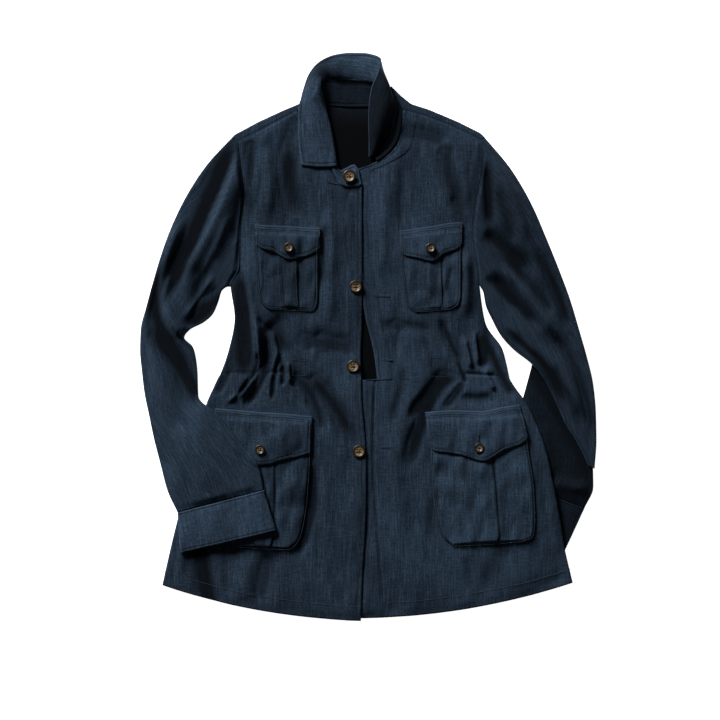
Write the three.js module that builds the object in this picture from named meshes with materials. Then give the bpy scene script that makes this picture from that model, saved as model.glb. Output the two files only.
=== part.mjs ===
import * as THREE from "three";
import { mergeVertices } from "three/addons/utils/BufferGeometryUtils.js";

// A linen utility jacket that lies on its back. Millimetres; +X is the wearer's left, +Y points to the collar,
// and the floor is z = 0. The pieces are laid one after another, and each settles on what already lies there.

// Cloth: one thickness of linen, two thicknesses sewn together, and the air between pieces
const WALL = 1.3;
const DOUBLE = 2;
const CLEAR = 0.5;
const SEAM = 0.7;
// A tube of cloth laid flat keeps this much air inside, and its sides are this round
const TUBE_AIR = 1;
const TUBE_ROUND = 3;
// Cloth comes down from what it lies over no steeper than this
const STEEPEST = 0.4;
// Space between the lines of a lattice, on the body, the sleeves and the small pieces
const BODY_PITCH = 23;
const SLEEVE_PITCH = 25;
const SLEEVE_COLUMNS = 8;
const SMALL_PITCH = 17;

// Loftiness of the pieces, which stand this much off what they lie on, away from their seams
const FRONT_LOFT = 3;
const SLEEVE_LOFT = 5;
const FOREARM_LOFT = 2.5;
const CUFF_WALL = 1.7;
const CUFF_LOFT = 1;
const SOFT_MARGIN = 28;
// How far the bellows of a hip pocket stand off the front, and the box pleats off their pockets
const BELLOWS = 6;
const PLEAT = 1.2;

// Turned shoulder: height of the fold and the roundness of its edge
const SHOULDER_FOLD = 3.6;
const SHOULDER_ROUND = 2.2;

// Buttons
const FRONT_BUTTON = 20;
const POCKET_BUTTON = 15;
const BUTTON_THICK = 3.2;
const BUTTON_SIDES = 14;

// Turns rows of numbers into records with the named columns.
function table(columns, rows) {
  const names = columns.split(" ");
  return rows.map((row) => Object.fromEntries(names.map((name, i) => [name, row[i]])));
}

// Sections across the body from the hem up: the right side, the right front's edge, the left front's edge and the
// left side, and how far the middle of each panel hangs below a straight section.
const BODY = table(
  "right_x right_y right_edge_x right_edge_y left_edge_x left_edge_y left_x left_y sag_right sag_left sag_back",
  [
    [-318, -385, -11, -439.5, -25, -436, 316, -381, 12, 14, 50],
    [-304, -323, -8, -365, -25, -370, 302, -323, 8, 9, 31],
    [-285, -246, -3, -284, -25, -284, 288, -241, 5, 6, 12],
    [-267, -168, -2, -204, -25, -204, 270, -165, 3, 3, 5],
    [-250, -105, -6, -136, -25, -133, 243, -102, 2, 2, 0],
    [-239, -80, -9, -102, -25, -98, 228, -81, 0, 0, 0],
    [-231, -63, -10, -71, -25, -68, 219, -67, 0, 0, 0],
    [-229, -60, -10, -67, 14, -66, 218, -64, 0, 0, 0],
    [-216, -24, -11, -29, 9, -26, 208, -21, 0, 0, 0],
    [-206, 29, -9, 26, -4, 29, 181, 22, 0, 0, 0],
    [-212, 77, -9, 75, -12, 75, 172, 80, 0, 0, 0],
    [-199, 109, -9, 122, -20, 115, 168, 115, 0, 0, 0],
    [-198, 165, -9, 173, -25, 168, 162, 162, 0, 0, 0],
    [-192, 221, -9, 232, -25, 218, 167, 208, 0, 0, 0],
    [-195, 249, -39, 236, -20, 255, 174, 243, 0, 0, 0],
    [-197, 264, -51, 257, 6, 267, 177, 264, 0, 0, 0],
    [-199, 280, -78, 297, 40, 292, 178, 280, 0, 0, 0],
    [-202, 298, -110, 348, 54, 350, 175, 300, 0, -5, 0],
  ],
);
const ARMPIT_ROW = 10;
const RIGHT_TIP = [-207, 312];
const LEFT_TIP = [181, 308];

// The top fold of the back, from the right shoulder's tip over both neck points to the left shoulder's tip.
const TOP_LINE = table("x y", [
  [-207, 312],
  [-170, 332],
  [-129, 351],
  [-101, 363],
  [-74, 357],
  [6, 357],
  [31, 382],
  [36, 388],
  [50, 374],
  [67, 360],
  [95, 351],
  [140, 332],
  [174, 315],
  [181, 308],
]);
const RIGHT_NECK_X = -101;
const LEFT_NECK_X = 36;

// Sections of the sleeves after the armhole, from the outer side to the inner, with their bow towards the body.
const RIGHT_SLEEVE = table("outer_x outer_y inner_x inner_y bow", [
  [-251, 264, -217, 77, 11],
  [-287, 207, -226, 71, 6],
  [-312, 150, -232, 53, 3],
  [-330, 94, -240, 35, 0],
  [-343, 47, -254, 22, 0],
  [-352, 10, -276, 10, 0],
  [-353, -21, -284, -2, 0],
  [-350, -55, -270, -18, 0],
  [-346, -88, -264, -52, 0],
  [-339, -122, -262, -92, 0],
  [-332, -156, -231, -120, 0],
  [-322, -195, -195, -164, 0],
  [-310, -238, -167, -201, 0],
  [-294, -272, -160, -236, 0],
]);
const LEFT_SLEEVE = table("outer_x outer_y inner_x inner_y bow", [
  [222, 258, 178, 69, 11],
  [253, 205, 182, 48, 6],
  [277, 150, 192, 26, 3],
  [296, 103, 205, 2, 0],
  [313, 57, 226, -21, 0],
  [327, 10, 253, -43, 0],
  [339, -33, 273, -69, 0],
  [348, -75, 288, -98, 0],
  [352, -117, 305, -136, 0],
  [353, -160, 324, -167, 0],
  [350, -204, 341, -201, 0],
]);
const LEFT_FOREARM = table("outer_x outer_y inner_x inner_y bow", [
  [333, -75, 256, -36, 0],
  [341, -106, 250, -58, 0],
  [344, -148, 240, -94, 0],
  [345, -188, 226, -136, 0],
  [346, -230, 212, -176, 0],
  [335, -266, 200, -213, 0],
]);
const RIGHT_CUFF = table("outer_x outer_y inner_x inner_y bow", [
  [-294, -273, -160, -237, 0],
  [-292, -305, -150, -269, 0],
  [-290, -334, -141, -298, 0],
]);
const LEFT_CUFF = table("outer_x outer_y inner_x inner_y bow", [
  [335, -267, 200, -214, 0],
  [319, -301, 188, -253, 0],
  [305, -331, 177, -291, 0],
]);
// The first row of each sleeve, counted from its armhole, that lies on other cloth
const RIGHT_SLEEVE_RESTS = 9;
const LEFT_SLEEVE_RESTS = 4;

// Pockets in sections from the bottom edge up, and flaps in sections from side to side, from top to lower edge.
const RIGHT_CHEST_POCKET = table("a_x a_y b_x b_y", [
  [-153, 43, -88, 39],
  [-164, 52, -79, 47],
  [-169, 69, -77, 64],
  [-172, 103, -77, 100],
  [-174, 156, -77, 153],
]);
const LEFT_CHEST_POCKET = table("a_x a_y b_x b_y", [
  [73, 38, 127, 42],
  [60, 49, 140, 50],
  [57, 67, 143, 67],
  [53, 103, 143, 103],
  [50, 150, 144, 160],
]);
const RIGHT_HIP_POCKET = table("a_x a_y b_x b_y", [
  [-198, -325, -124, -329],
  [-217, -315, -105, -314],
  [-225, -292, -98, -291],
  [-231, -238, -91, -238],
  [-236, -176, -88, -179],
  [-236, -129, -88, -136],
]);
const LEFT_HIP_POCKET = table("a_x a_y b_x b_y", [
  [130, -323, 239, -315],
  [113, -306, 256, -305],
  [105, -284, 258, -284],
  [99, -238, 256, -238],
  [96, -176, 248, -179],
  [95, -133, 240, -126],
]);
const RIGHT_CHEST_FLAP = table("a_x a_y b_x b_y", [
  [-175, 173, -172, 143],
  [-164, 172, -164, 136],
  [-144, 171, -144, 130],
  [-122, 170, -122, 119],
  [-101, 169, -101, 123],
  [-82, 168, -82, 130],
  [-74, 168, -74, 137],
]);
const LEFT_CHEST_FLAP = table("a_x a_y b_x b_y", [
  [49, 164, 50, 131],
  [57, 164, 57, 125],
  [76, 167, 76, 121],
  [98, 170, 98, 116],
  [119, 174, 119, 128],
  [138, 176, 138, 136],
  [146, 177, 145, 145],
]);
const RIGHT_HIP_FLAP = table("a_x a_y b_x b_y", [
  [-236, -111, -239, -154],
  [-226, -112, -228, -168],
  [-198, -114, -198, -184],
  [-164, -117, -164, -198],
  [-129, -119, -129, -190],
  [-101, -122, -101, -183],
  [-86, -123, -88, -179],
]);
const LEFT_HIP_FLAP = table("a_x a_y b_x b_y", [
  [88, -117, 94, -167],
  [99, -116, 102, -176],
  [135, -114, 138, -181],
  [174, -115, 177, -191],
  [205, -109, 209, -175],
  [225, -106, 236, -164],
  [233, -105, 246, -154],
]);

// The collar in sections from its buttoned end on the right round the neck to its left end: the band from the neck
// seam to the fold, then the leaf over its middle to its free edge. A height is at least that of the cloth below.
const COLLAR = table(
  "neck_x neck_y neck_z fold_x fold_y fold_z mid_x mid_y mid_z free_x free_y free_z",
  [
    [-10, 235, 1, -14, 257, 1, -74, 251, 10, -102, 254, 1],
    [-16, 232, 1, -22, 266, 1, -74, 252, 10, -102, 255, 1],
    [-28, 231, 1, -32, 262, 1, -74, 253, 10, -102, 256, 1],
    [-39, 233, 1, -42, 257, 1, -74, 255, 10, -102, 258, 1],
    [-52, 252, 1, -47, 262, 6, -74, 260, 10, -103, 263, 1],
    [-66, 281, 1, -50, 283, 6, -78, 284, 10, -106, 286, 1],
    [-86, 311, 1, -56, 318, 6, -82, 320, 10, -108, 320, 1],
    [-100, 334, 1, -64, 349, 8, -85, 351, 11, -108, 350, 1],
    [-104, 351, 1, -69, 371, 14, -87, 369, 13, -104, 367, 1],
    [-97, 359, 1, -73, 385, 19, -86, 387, 15, -99, 385, 1],
    [-80, 359, 1, -71, 396, 14, -82, 402, 13, -91, 406, 2],
    [-62, 357, 1, -60, 398, 6, -66, 412, 11, -75, 425, 2],
    [-45, 356, 1, -46, 397, 3, -47, 410, 9, -51, 436, 2],
    [-28, 355, 1, -28, 396, 2, -28, 409, 8, -29, 439, 2],
    [-10, 355, 1, -9, 394, 2, -9, 406, 7, -9, 439, 2],
    [8, 355, 1, 9, 391, 2, 9, 403, 8, 8, 436, 3],
    [29, 358, 1, 25, 387, 5, 24, 400, 13, 19, 429, 9],
    [46, 358, 1, 36, 375, 12, 29, 392, 19, 17, 412, 12],
    [52, 346, 1, 38, 356, 13, 25, 370, 21, 6, 384, 10],
    [51, 326, 1, 34, 336, 12, 19, 346, 21, 2, 357, 8],
    [46, 305, 1, 28, 315, 10, 15, 321, 19, 1, 329, 7],
    [33, 286, 1, 19, 294, 7, 11, 298, 14, 2, 301, 5],
    [14, 271, 1, 9, 278, 4, 6, 279, 8, 2, 277, 4],
  ],
);
const LEAF_STARTS = 4;
const BAND_COLUMNS = 3;
const LEAF_COLUMNS = 5;
const COLLAR_STEEPEST = 1.1;

// The largest folds. Each runs on an arc through three points; a height below zero is a trough, and lean makes a
// fold steeper on the left of its way and softer on the right.
const FOLD_COLUMNS = "x0 y0 x1 y1 x2 y2 width height lean";
const RIGHT_SLEEVE_FOLDS = table(FOLD_COLUMNS, [
  [-198, 266, -250, 134, -299, 44, 9, 8, -0.45],
  [-301, 47, -298, 7, -265, -33, 8, 7, -0.4],
  [-287, 193, -316, 115, -338, 22, 14, 6, 0],
  [-222, 289, -279, 184, -318, 57, 8, -4, 0],
  [-329, 2, -313, -24, -265, -88, 8, -5, 0],
  [-205, 227, -232, 157, -260, 103, 8, -3, 0],
  [-222, 103, -253, 72, -287, 29, 7, -3, 0],
  [-344, -36, -327, -64, -301, -102, 6, 2.5, 0],
  [-298, -129, -267, -184, -239, -241, 18, 3, 0],
]);
const LEFT_SLEEVE_FOLDS = table(FOLD_COLUMNS, [
  [184, 286, 223, 212, 251, 142, 10, 5, 0],
  [183, 270, 189, 227, 189, 177, 7, -3, 0],
  [205, 115, 251, 57, 298, -13, 8, 7, 0.3],
  [197, 134, 259, 72, 285, 33, 7, -4, 0],
  [205, 94, 236, 63, 262, 29, 6, -4, 0],
  [180, 94, 205, 71, 236, 40, 6, -3, 0],
  [316, 10, 339, -67, 344, -145, 11, 4, 0],
  [285, -40, 307, -86, 335, -154, 7, -3, 0],
]);
const LEFT_FOREARM_FOLDS = table(FOLD_COLUMNS, [
  [279, -219, 316, -233, 344, -229, 9, 4, 0],
  [267, -129, 274, -176, 285, -222, 10, 2.5, 0],
]);
const RIGHT_FRONT_FOLDS = table(FOLD_COLUMNS, [
  [-188, 88, -178, 33, -170, -40, 7, 6, -0.4],
  [-194, 57, -191, -13, -192, -95, 6, -5, 0],
  [-164, -13, -169, -52, -174, -94, 5, -4, 0],
  [-161, -18, -153, -55, -147, -92, 5, -4, 0],
  [-158, -9, -146, -40, -143, -74, 5, 4, 0],
  [-180, -52, -198, -77, -228, -103, 6, 4, 0],
  [-116, -67, -87, -98, -67, -145, 9, -4, 0],
  [-74, -75, -51, -106, -28, -160, 9, -3, 0],
  [-136, 41, -135, 7, -135, -24, 10, -3, 0],
  [-110, 342, -126, 281, -132, 193, 9, -3, 0],
  [-180, 308, -183, 274, -188, 227, 7, -3, 0],
  [-158, 297, -153, 239, -155, 177, 9, 3, 0],
  [-59, 219, -57, 111, -59, 2, 10, 3.5, 0],
  [-33, 227, -33, 165, -33, 100, 7, -2, 0],
  [-256, -339, -253, -370, -248, -402, 10, -4, 0],
  [-141, -334, -141, -370, -140, -408, 9, -2, 0],
  [-198, -334, -191, -377, -186, -415, 12, 2, 0],
  [-71, -191, -64, -315, -62, -421, 15, 2, 0],
]);
const LEFT_FRONT_FOLDS = table(FOLD_COLUMNS, [
  [112, 26, 132, -10, 144, -46, 6, 4, 0],
  [135, 18, 147, -10, 153, -36, 5, -4, 0],
  [164, -9, 163, -30, 158, -55, 5, 4, 0],
  [172, -10, 174, -26, 172, -46, 5, -4, 0],
  [146, -44, 149, -64, 152, -86, 5, -3.5, 0],
  [170, -46, 178, -67, 184, -92, 5, -3.5, 0],
  [180, -40, 192, -72, 226, -100, 6, 4, 0],
  [195, -13, 206, -40, 219, -63, 6, 3, 0],
  [124, -61, 82, -137, 57, -215, 9, -4, 0],
  [57, -44, 50, -91, 34, -145, 8, -3, 0],
  [78, 339, 88, 312, 96, 281, 10, -3, 0],
  [122, 320, 118, 274, 124, 219, 9, -3, 0],
  [127, 219, 143, 193, 158, 162, 8, -2.5, 0],
  [146, 134, 152, 80, 147, 22, 9, 4, 0],
  [51, 274, 53, 219, 50, 165, 7, -2, 0],
  [26, 250, 25, 173, 23, 88, 10, 2.5, 0],
  [50, -222, 54, -315, 65, -415, 15, 2, 0],
  [274, -160, 287, -261, 301, -362, 10, 3, 0],
  [260, -160, 270, -222, 276, -300, 7, -2, 0],
]);

// Buttons: their centres
const BUTTONS = [
  { name: "front_button_1", x: -29, y: 247, across: FRONT_BUTTON },
  { name: "front_button_2", x: -19, y: 77, across: FRONT_BUTTON },
  { name: "front_button_3", x: -23, y: -46, across: FRONT_BUTTON },
  { name: "front_button_4", x: -14, y: -177, across: FRONT_BUTTON },
  { name: "right_chest_button", x: -122, y: 137, across: POCKET_BUTTON },
  { name: "left_chest_button", x: 96, y: 136, across: POCKET_BUTTON },
  { name: "right_hip_button", x: -166, y: -174, across: POCKET_BUTTON },
  { name: "left_hip_button", x: 170, y: -171, across: POCKET_BUTTON },
];

const LINEN = new THREE.MeshStandardMaterial({ color: 0x26354a, roughness: 0.9, metalness: 0 });
const LINEN_LIT = new THREE.MeshStandardMaterial({ color: 0x2f4058, roughness: 0.9, metalness: 0 });
const HORN = new THREE.MeshStandardMaterial({ color: 0x6b4f35, roughness: 0.35, metalness: 0 });

// Curves and lattices

// How far two points are apart in plan.
function gap(p, q) {
  return Math.hypot(p[0] - q[0], p[1] - q[1]);
}

// The point a given way from p towards q.
function toward(p, q, way) {
  const share = way / gap(p, q);
  return [p[0] + (q[0] - p[0]) * share, p[1] + (q[1] - p[1]) * share];
}

// The value at a fractional place in a list, on a smooth curve that meets each value and overshoots none.
function along(values, place) {
  const last = values.length - 1;
  const k = Math.min(Math.floor(place), last - 1);
  const t = place - k;
  const step = (i) => values[i + 1] - values[i];
  const slope = (i) => {
    if (i === 0) return step(0);
    if (i === last) return step(last - 1);
    const before = step(i - 1);
    const after = step(i);
    return before * after > 0 ? (2 * before * after) / (before + after) : 0;
  };
  const t2 = t * t;
  const t3 = t2 * t;
  return (
    (2 * t3 - 3 * t2 + 1) * values[k] +
    (t3 - 2 * t2 + t) * slope(k) +
    (3 * t2 - 2 * t3) * values[k + 1] +
    (t3 - t2) * slope(k + 1)
  );
}

// A section from a to b whose middle is moved sideways, to the right of its way, by bow.
function section(ax, ay, bx, by, bow = 0) {
  const length = Math.hypot(bx - ax, by - ay);
  return (s) => {
    const off = (4 * bow * s * (1 - s)) / length;
    return [ax + (bx - ax) * s + off * (by - ay), ay + (by - ay) * s - off * (bx - ax)];
  };
}

// Lines of points through the sections, with `columns` spaces across and about `pitch` between lines; crowd over 1
// draws the columns to the first end. Each line also keeps the fractional row that it stands for.
function lattice(sections, columns, pitch, crowd = 1) {
  const shares = Array.from({ length: columns + 1 }, (_, j) => (j / columns) ** crowd);
  const rows = sections.map((at) => shares.map((s) => at(s)));
  const far = (i, j) => gap(rows[i][j], rows[i + 1][j]);
  const places = [];
  for (let i = 0; i < rows.length - 1; i++) {
    const count = Math.max(1, Math.round((far(i, 0) + far(i, columns)) / 2 / pitch));
    for (let k = 0; k < count; k++) places.push(i + k / count);
  }
  places.push(rows.length - 1);
  return places.map((place) => {
    const line = shares.map((_, j) =>
      rows[0][j].map((_, k) =>
        along(
          rows.map((row) => row[j][k]),
          place,
        ),
      ),
    );
    line.row = place;
    return line;
  });
}

// How far inside the lattice's border each point lies, as a soft step from 0 at the border to 1 at the margin.
function inside(net, margin) {
  return net.map((line, i) =>
    line.map((point, j) => {
      const ends = [line[0], line.at(-1), net[0][j], net.at(-1)[j]];
      const t = Math.min(1, Math.min(...ends.map((end) => gap(point, end))) / margin);
      return t * t * (3 - 2 * t);
    }),
  );
}

// Height of the folds at a point: each is a bell across its arc that fades at both ends.
function relief(folds, x, y) {
  const STEPS = 14;
  let height = 0;
  for (const fold of folds) {
    const bend = (a, b, c) => 2 * b - (a + c) / 2;
    const cx = bend(fold.x0, fold.x1, fold.x2);
    const cy = bend(fold.y0, fold.y1, fold.y2);
    const at = (t) => [
      (1 - t) ** 2 * fold.x0 + 2 * t * (1 - t) * cx + t * t * fold.x2,
      (1 - t) ** 2 * fold.y0 + 2 * t * (1 - t) * cy + t * t * fold.y2,
    ];
    let best = { away: Infinity };
    for (let k = 0; k < STEPS; k++) {
      const a = at(k / STEPS);
      const b = at((k + 1) / STEPS);
      const [dx, dy] = [b[0] - a[0], b[1] - a[1]];
      const t = Math.max(0, Math.min(1, ((x - a[0]) * dx + (y - a[1]) * dy) / (dx * dx + dy * dy)));
      const away = Math.hypot(x - a[0] - t * dx, y - a[1] - t * dy);
      const side = Math.sign(dx * (y - a[1]) - dy * (x - a[0]));
      if (away < best.away) best = { away, side, t: (k + t) / STEPS };
    }
    const width = fold.width * (1 - fold.lean * best.side);
    const fade = Math.min(1, 4 * Math.min(best.t, 1 - best.t));
    height += fold.height * fade * fade * (3 - 2 * fade) * Math.exp(-((best.away / width) ** 2));
  }
  return height;
}

// The pile: the height of the cloth laid so far, on a raster of square cells

const CELL = 1.5;
const PILE_X = 372;
const PILE_Y = 456;
const ACROSS = Math.ceil((2 * PILE_X) / CELL);
const UP = Math.ceil((2 * PILE_Y) / CELL);
const pile = new Float32Array(ACROSS * UP);

// Calls visit(cell, a, b, c) for the cells whose centres lie in a triangle's plan, with their shares of its corners.
function overCells(p, q, r, visit) {
  const area = (q[0] - p[0]) * (r[1] - p[1]) - (q[1] - p[1]) * (r[0] - p[0]);
  if (Math.abs(area) < 1e-9) return;
  const column = (x) => Math.floor((x + PILE_X) / CELL);
  const row = (y) => Math.floor((y + PILE_Y) / CELL);
  const xs = [p[0], q[0], r[0]];
  const ys = [p[1], q[1], r[1]];
  for (let v = row(Math.min(...ys)); v <= row(Math.max(...ys)); v++)
    for (let u = column(Math.min(...xs)); u <= column(Math.max(...xs)); u++) {
      const x = (u + 0.5) * CELL - PILE_X;
      const y = (v + 0.5) * CELL - PILE_Y;
      const b = ((x - p[0]) * (r[1] - p[1]) - (y - p[1]) * (r[0] - p[0])) / area;
      const c = ((q[0] - p[0]) * (y - p[1]) - (q[1] - p[1]) * (x - p[0])) / area;
      if (b >= 0 && c >= 0 && b + c <= 1) visit(v * ACROSS + u, 1 - b - c, b, c);
    }
}

// Adds a finished solid's top to the pile.
function lay(mesh) {
  const position = mesh.geometry.getAttribute("position");
  const corner = (i) => [position.getX(i), position.getY(i), position.getZ(i)];
  const index = mesh.geometry.index.array;
  for (let k = 0; k < index.length; k += 3) {
    const [p, q, r] = [corner(index[k]), corner(index[k + 1]), corner(index[k + 2])];
    overCells(p, q, r, (cell, a, b, c) => {
      pile[cell] = Math.max(pile[cell], a * p[2] + b * q[2] + c * r[2]);
    });
  }
  return mesh;
}

// The two triangles of each square of a lattice, as pairs of line and column.
function squares(net) {
  const faces = [];
  for (let i = 0; i < net.length - 1; i++)
    for (let j = 0; j < net[0].length - 1; j++) {
      faces.push([[i, j], [i, j + 1], [i + 1, j + 1]]);
      faces.push([[i, j], [i + 1, j + 1], [i + 1, j]]);
    }
  return faces;
}

// Heights at which a lattice lies on the pile with CLEAR between, from row `from` on; the rest lies on the floor.
// Each point clears the highest cloth under the triangles that meet there, so that the triangles clear it too.
function settle(net, from = 0, steepest = STEEPEST) {
  const bed = net.map((line) => line.map(() => 0));
  for (const face of squares(net)) {
    if (net[face[0][0]].row < from) continue;
    let top = 0;
    overCells(...face.map(([i, j]) => net[i][j]), (cell) => {
      for (const up of [-ACROSS, 0, ACROSS])
        for (const over of [-1, 0, 1]) top = Math.max(top, pile[cell + up + over] ?? 0);
    });
    if (top > 0) for (const [i, j] of face) bed[i][j] = Math.max(bed[i][j], top + CLEAR);
  }
  return bridge(net, bed, from, steepest);
}

// Cloth spans the corners that it lies over: no point is lower than its neighbours by more than the steepest slope.
function bridge(net, bed, from, steepest) {
  const PASSES = 12;
  for (let pass = 0; pass < PASSES; pass++)
    for (let i = 0; i < net.length; i++)
      for (let j = 0; j < net[0].length; j++)
        for (const [k, l] of [[i - 1, j], [i + 1, j], [i, j - 1], [i, j + 1]]) {
          if (!net[k]?.[l] || net[i].row < from) continue;
          bed[i][j] = Math.max(bed[i][j], bed[k][l] - steepest * gap(net[i][j], net[k][l]));
        }
  return bed;
}

// Solids

// A closed mesh from corners and triangles, turned so that its faces point out.
function solid(name, points, faces, material) {
  let volume = 0;
  for (const [a, b, c] of faces) {
    const [p, q, r] = [points[a], points[b], points[c]];
    volume +=
      p[0] * (q[1] * r[2] - q[2] * r[1]) - p[1] * (q[0] * r[2] - q[2] * r[0]) + p[2] * (q[0] * r[1] - q[1] * r[0]);
  }
  const out = volume > 0 ? faces : faces.map(([a, b, c]) => [a, c, b]);
  const geometry = new THREE.BufferGeometry();
  geometry.setAttribute("position", new THREE.Float32BufferAttribute(points.flat(), 3));
  geometry.setIndex(out.flat());
  geometry.computeVertexNormals();
  const mesh = new THREE.Mesh(geometry, material);
  mesh.name = name;
  return mesh;
}

// A wall of cloth between a lower and an upper lattice, with an edge all round the squares that are kept.
function wall(name, lower, upper, material, kept = () => true) {
  const width = lower[0].length;
  const count = lower.length * width;
  const key = (i, j) => i * width + j;
  const faces = [];
  const edges = new Map();
  for (const face of squares(lower)) {
    const i = Math.min(...face.map((corner) => corner[0]));
    const j = Math.min(...face.map((corner) => corner[1]));
    if (!kept(i, j)) continue;
    const [a, b, c] = face.map(([k, l]) => key(k, l));
    faces.push([a, b, c], [a + count, c + count, b + count]);
    for (const [p, q] of [[a, b], [b, c], [c, a]]) {
      if (edges.has(`${q} ${p}`)) edges.delete(`${q} ${p}`);
      else edges.set(`${p} ${q}`, [p, q]);
    }
  }
  for (const [p, q] of edges.values()) faces.push([q, p, p + count], [q, p + count, q + count]);
  return packed(name, [...lower.flat(), ...upper.flat()], faces, material);
}

// Drops the corners that no face uses, then makes the solid.
function packed(name, points, faces, material) {
  const used = [...new Set(faces.flat())];
  const place = new Map(used.map((old, i) => [old, i]));
  const kept = used.map((old) => points[old]);
  return solid(name, kept, faces.map((face) => face.map((old) => place.get(old))), material);
}

// A panel, pocket or flap: one wall that settles on the pile and rises into its folds.
function sheet(name, sections, options) {
  const { columns, crowd, pitch, thick = WALL, loft = 0, folds = [], material = LINEN } = options;
  const net = lattice(sections, columns, pitch, crowd);
  const bed = settle(net);
  const soft = inside(net, SOFT_MARGIN);
  const folded = (x, y, at) => Math.max(0, loft * at + relief(folds, x, y) * Math.min(1, 3 * at));
  const rise = options.rise ?? folded;
  const height = (i, j) => bed[i][j] + rise(net[i][j][0], net[i][j][1], soft[i][j], net[i].row, j);
  const lower = net.map((line, i) => line.map(([x, y], j) => [x, y, height(i, j)]));
  const upper = lower.map((line) => line.map(([x, y, z]) => [x, y, z + thick]));
  return lay(wall(name, lower, upper, material));
}

// A tube of cloth laid flat, open at both ends: rings whose lower half lies on the pile and whose upper half folds.
function tube(name, sections, options) {
  const { thick = WALL, loft = 0, folds = [], from = 0, material = LINEN } = options;
  const net = lattice(sections, SLEEVE_COLUMNS, SLEEVE_PITCH).map((line) => Object.assign(rounded(line), { row: line.row }));
  const bed = settle(net, from);
  const soft = net.map((line) => sides(line, Math.min(SOFT_MARGIN, gap(line[0], line.at(-1)) / 2)));
  const flat = 2 * thick + TUBE_AIR;
  const lofty = (x, y, at) => Math.max(0, loft * at + relief(folds, x, y) * Math.min(1, 2 * at));
  const tall = net.map((line, i) => line.map(([x, y], j) => flat + lofty(x, y, soft[i][j])));
  const last = net[0].length - 1;
  const ring = (i, inner) => {
    const lift = inner ? thick : 0;
    const line = inner ? narrowed(net[i], thick) : net[i];
    const low = line.map(([x, y], j) => [x, y, bed[i][j] + lift]);
    const high = line.map(([x, y], j) => [x, y, bed[i][j] + tall[i][j] - lift]);
    for (const j of [0, last]) low[j][2] = bed[i][j] + flat / 2;
    return [...low, ...high.slice(1, -1).reverse()];
  };
  const outer = net.map((_, i) => ring(i, false));
  const inner = net.map((_, i) => ring(i, true));
  return { outer, inner, name, material };
}

// Soft step from the two sides of one line.
function sides(line, margin) {
  return line.map((point) => {
    const t = Math.min(1, Math.min(gap(point, line[0]), gap(point, line.at(-1))) / margin);
    return Math.sin((t * Math.PI) / 2);
  });
}

// A line with a narrow space at each side, in which the tube rounds.
function rounded(line) {
  const first = toward(line[0], line[1], TUBE_ROUND);
  const last = toward(line.at(-1), line.at(-2), TUBE_ROUND);
  return [line[0], first, ...line.slice(1, -1), last, line.at(-1)];
}

// The same line drawn in at both sides by a wall's thickness.
function narrowed(line, thick) {
  const SIDE_WALL = 1.7 * thick;
  const inner = line.map((point) => [...point]);
  inner[0] = toward(line[0], line[1], SIDE_WALL);
  inner[1] = toward(line[1], line[2], thick);
  inner[line.length - 1] = toward(line.at(-1), line.at(-2), SIDE_WALL);
  inner[line.length - 2] = toward(line.at(-2), line.at(-3), thick);
  return inner;
}

// Joins a tube's rings into one solid with open ends.
function joinTube({ name, outer, inner, material }) {
  const size = outer[0].length;
  const rings = outer.length;
  const count = rings * size;
  const faces = [];
  const corner = (i, k) => i * size + (k % size);
  for (let i = 0; i < rings - 1; i++)
    for (let k = 0; k < size; k++) {
      const [a, b, c, d] = [corner(i, k), corner(i, k + 1), corner(i + 1, k + 1), corner(i + 1, k)];
      faces.push([a, b, c], [a, c, d]);
      faces.push([a + count, c + count, b + count], [a + count, d + count, c + count]);
    }
  for (let k = 0; k < size; k++) {
    const [a, b] = [corner(0, k), corner(0, k + 1)];
    const [c, d] = [corner(rings - 1, k), corner(rings - 1, k + 1)];
    faces.push([b, a, a + count], [b, a + count, b + count]);
    faces.push([c, d, d + count], [c, d + count, c + count]);
  }
  return lay(solid(name, [...outer.flat(), ...inner.flat()], faces, material));
}

// The pieces

const spans = (rows) => rows.map((r) => section(r.a_x, r.a_y, r.b_x, r.b_y));
const tubeSpans = (rows, side) =>
  rows.map((r) => section(r.outer_x, r.outer_y, r.inner_x, r.inner_y, side * r.bow));

// The armhole from the shoulder's tip to the armpit, as a section of the sleeve a seam's gap outside the body's
// edge; side is 1 on the left and -1 on the right.
function armhole(xName, yName, tip, side) {
  const NEAR = 0.01;
  const xs = [...BODY.map((row) => row[xName]), tip[0]];
  const ys = [...BODY.map((row) => row[yName]), tip[1]];
  const top = BODY.length;
  const edge = (s) => {
    const row = top + (ARMPIT_ROW - top) * s;
    return [along(xs, row), along(ys, row)];
  };
  return (s) => {
    const [x, y] = edge(s);
    const before = edge(Math.max(0, s - NEAR));
    const after = edge(Math.min(1, s + NEAR));
    const out = (side * SEAM) / gap(before, after);
    return [x - out * (after[1] - before[1]), y + out * (after[0] - before[0])];
  };
}

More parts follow.
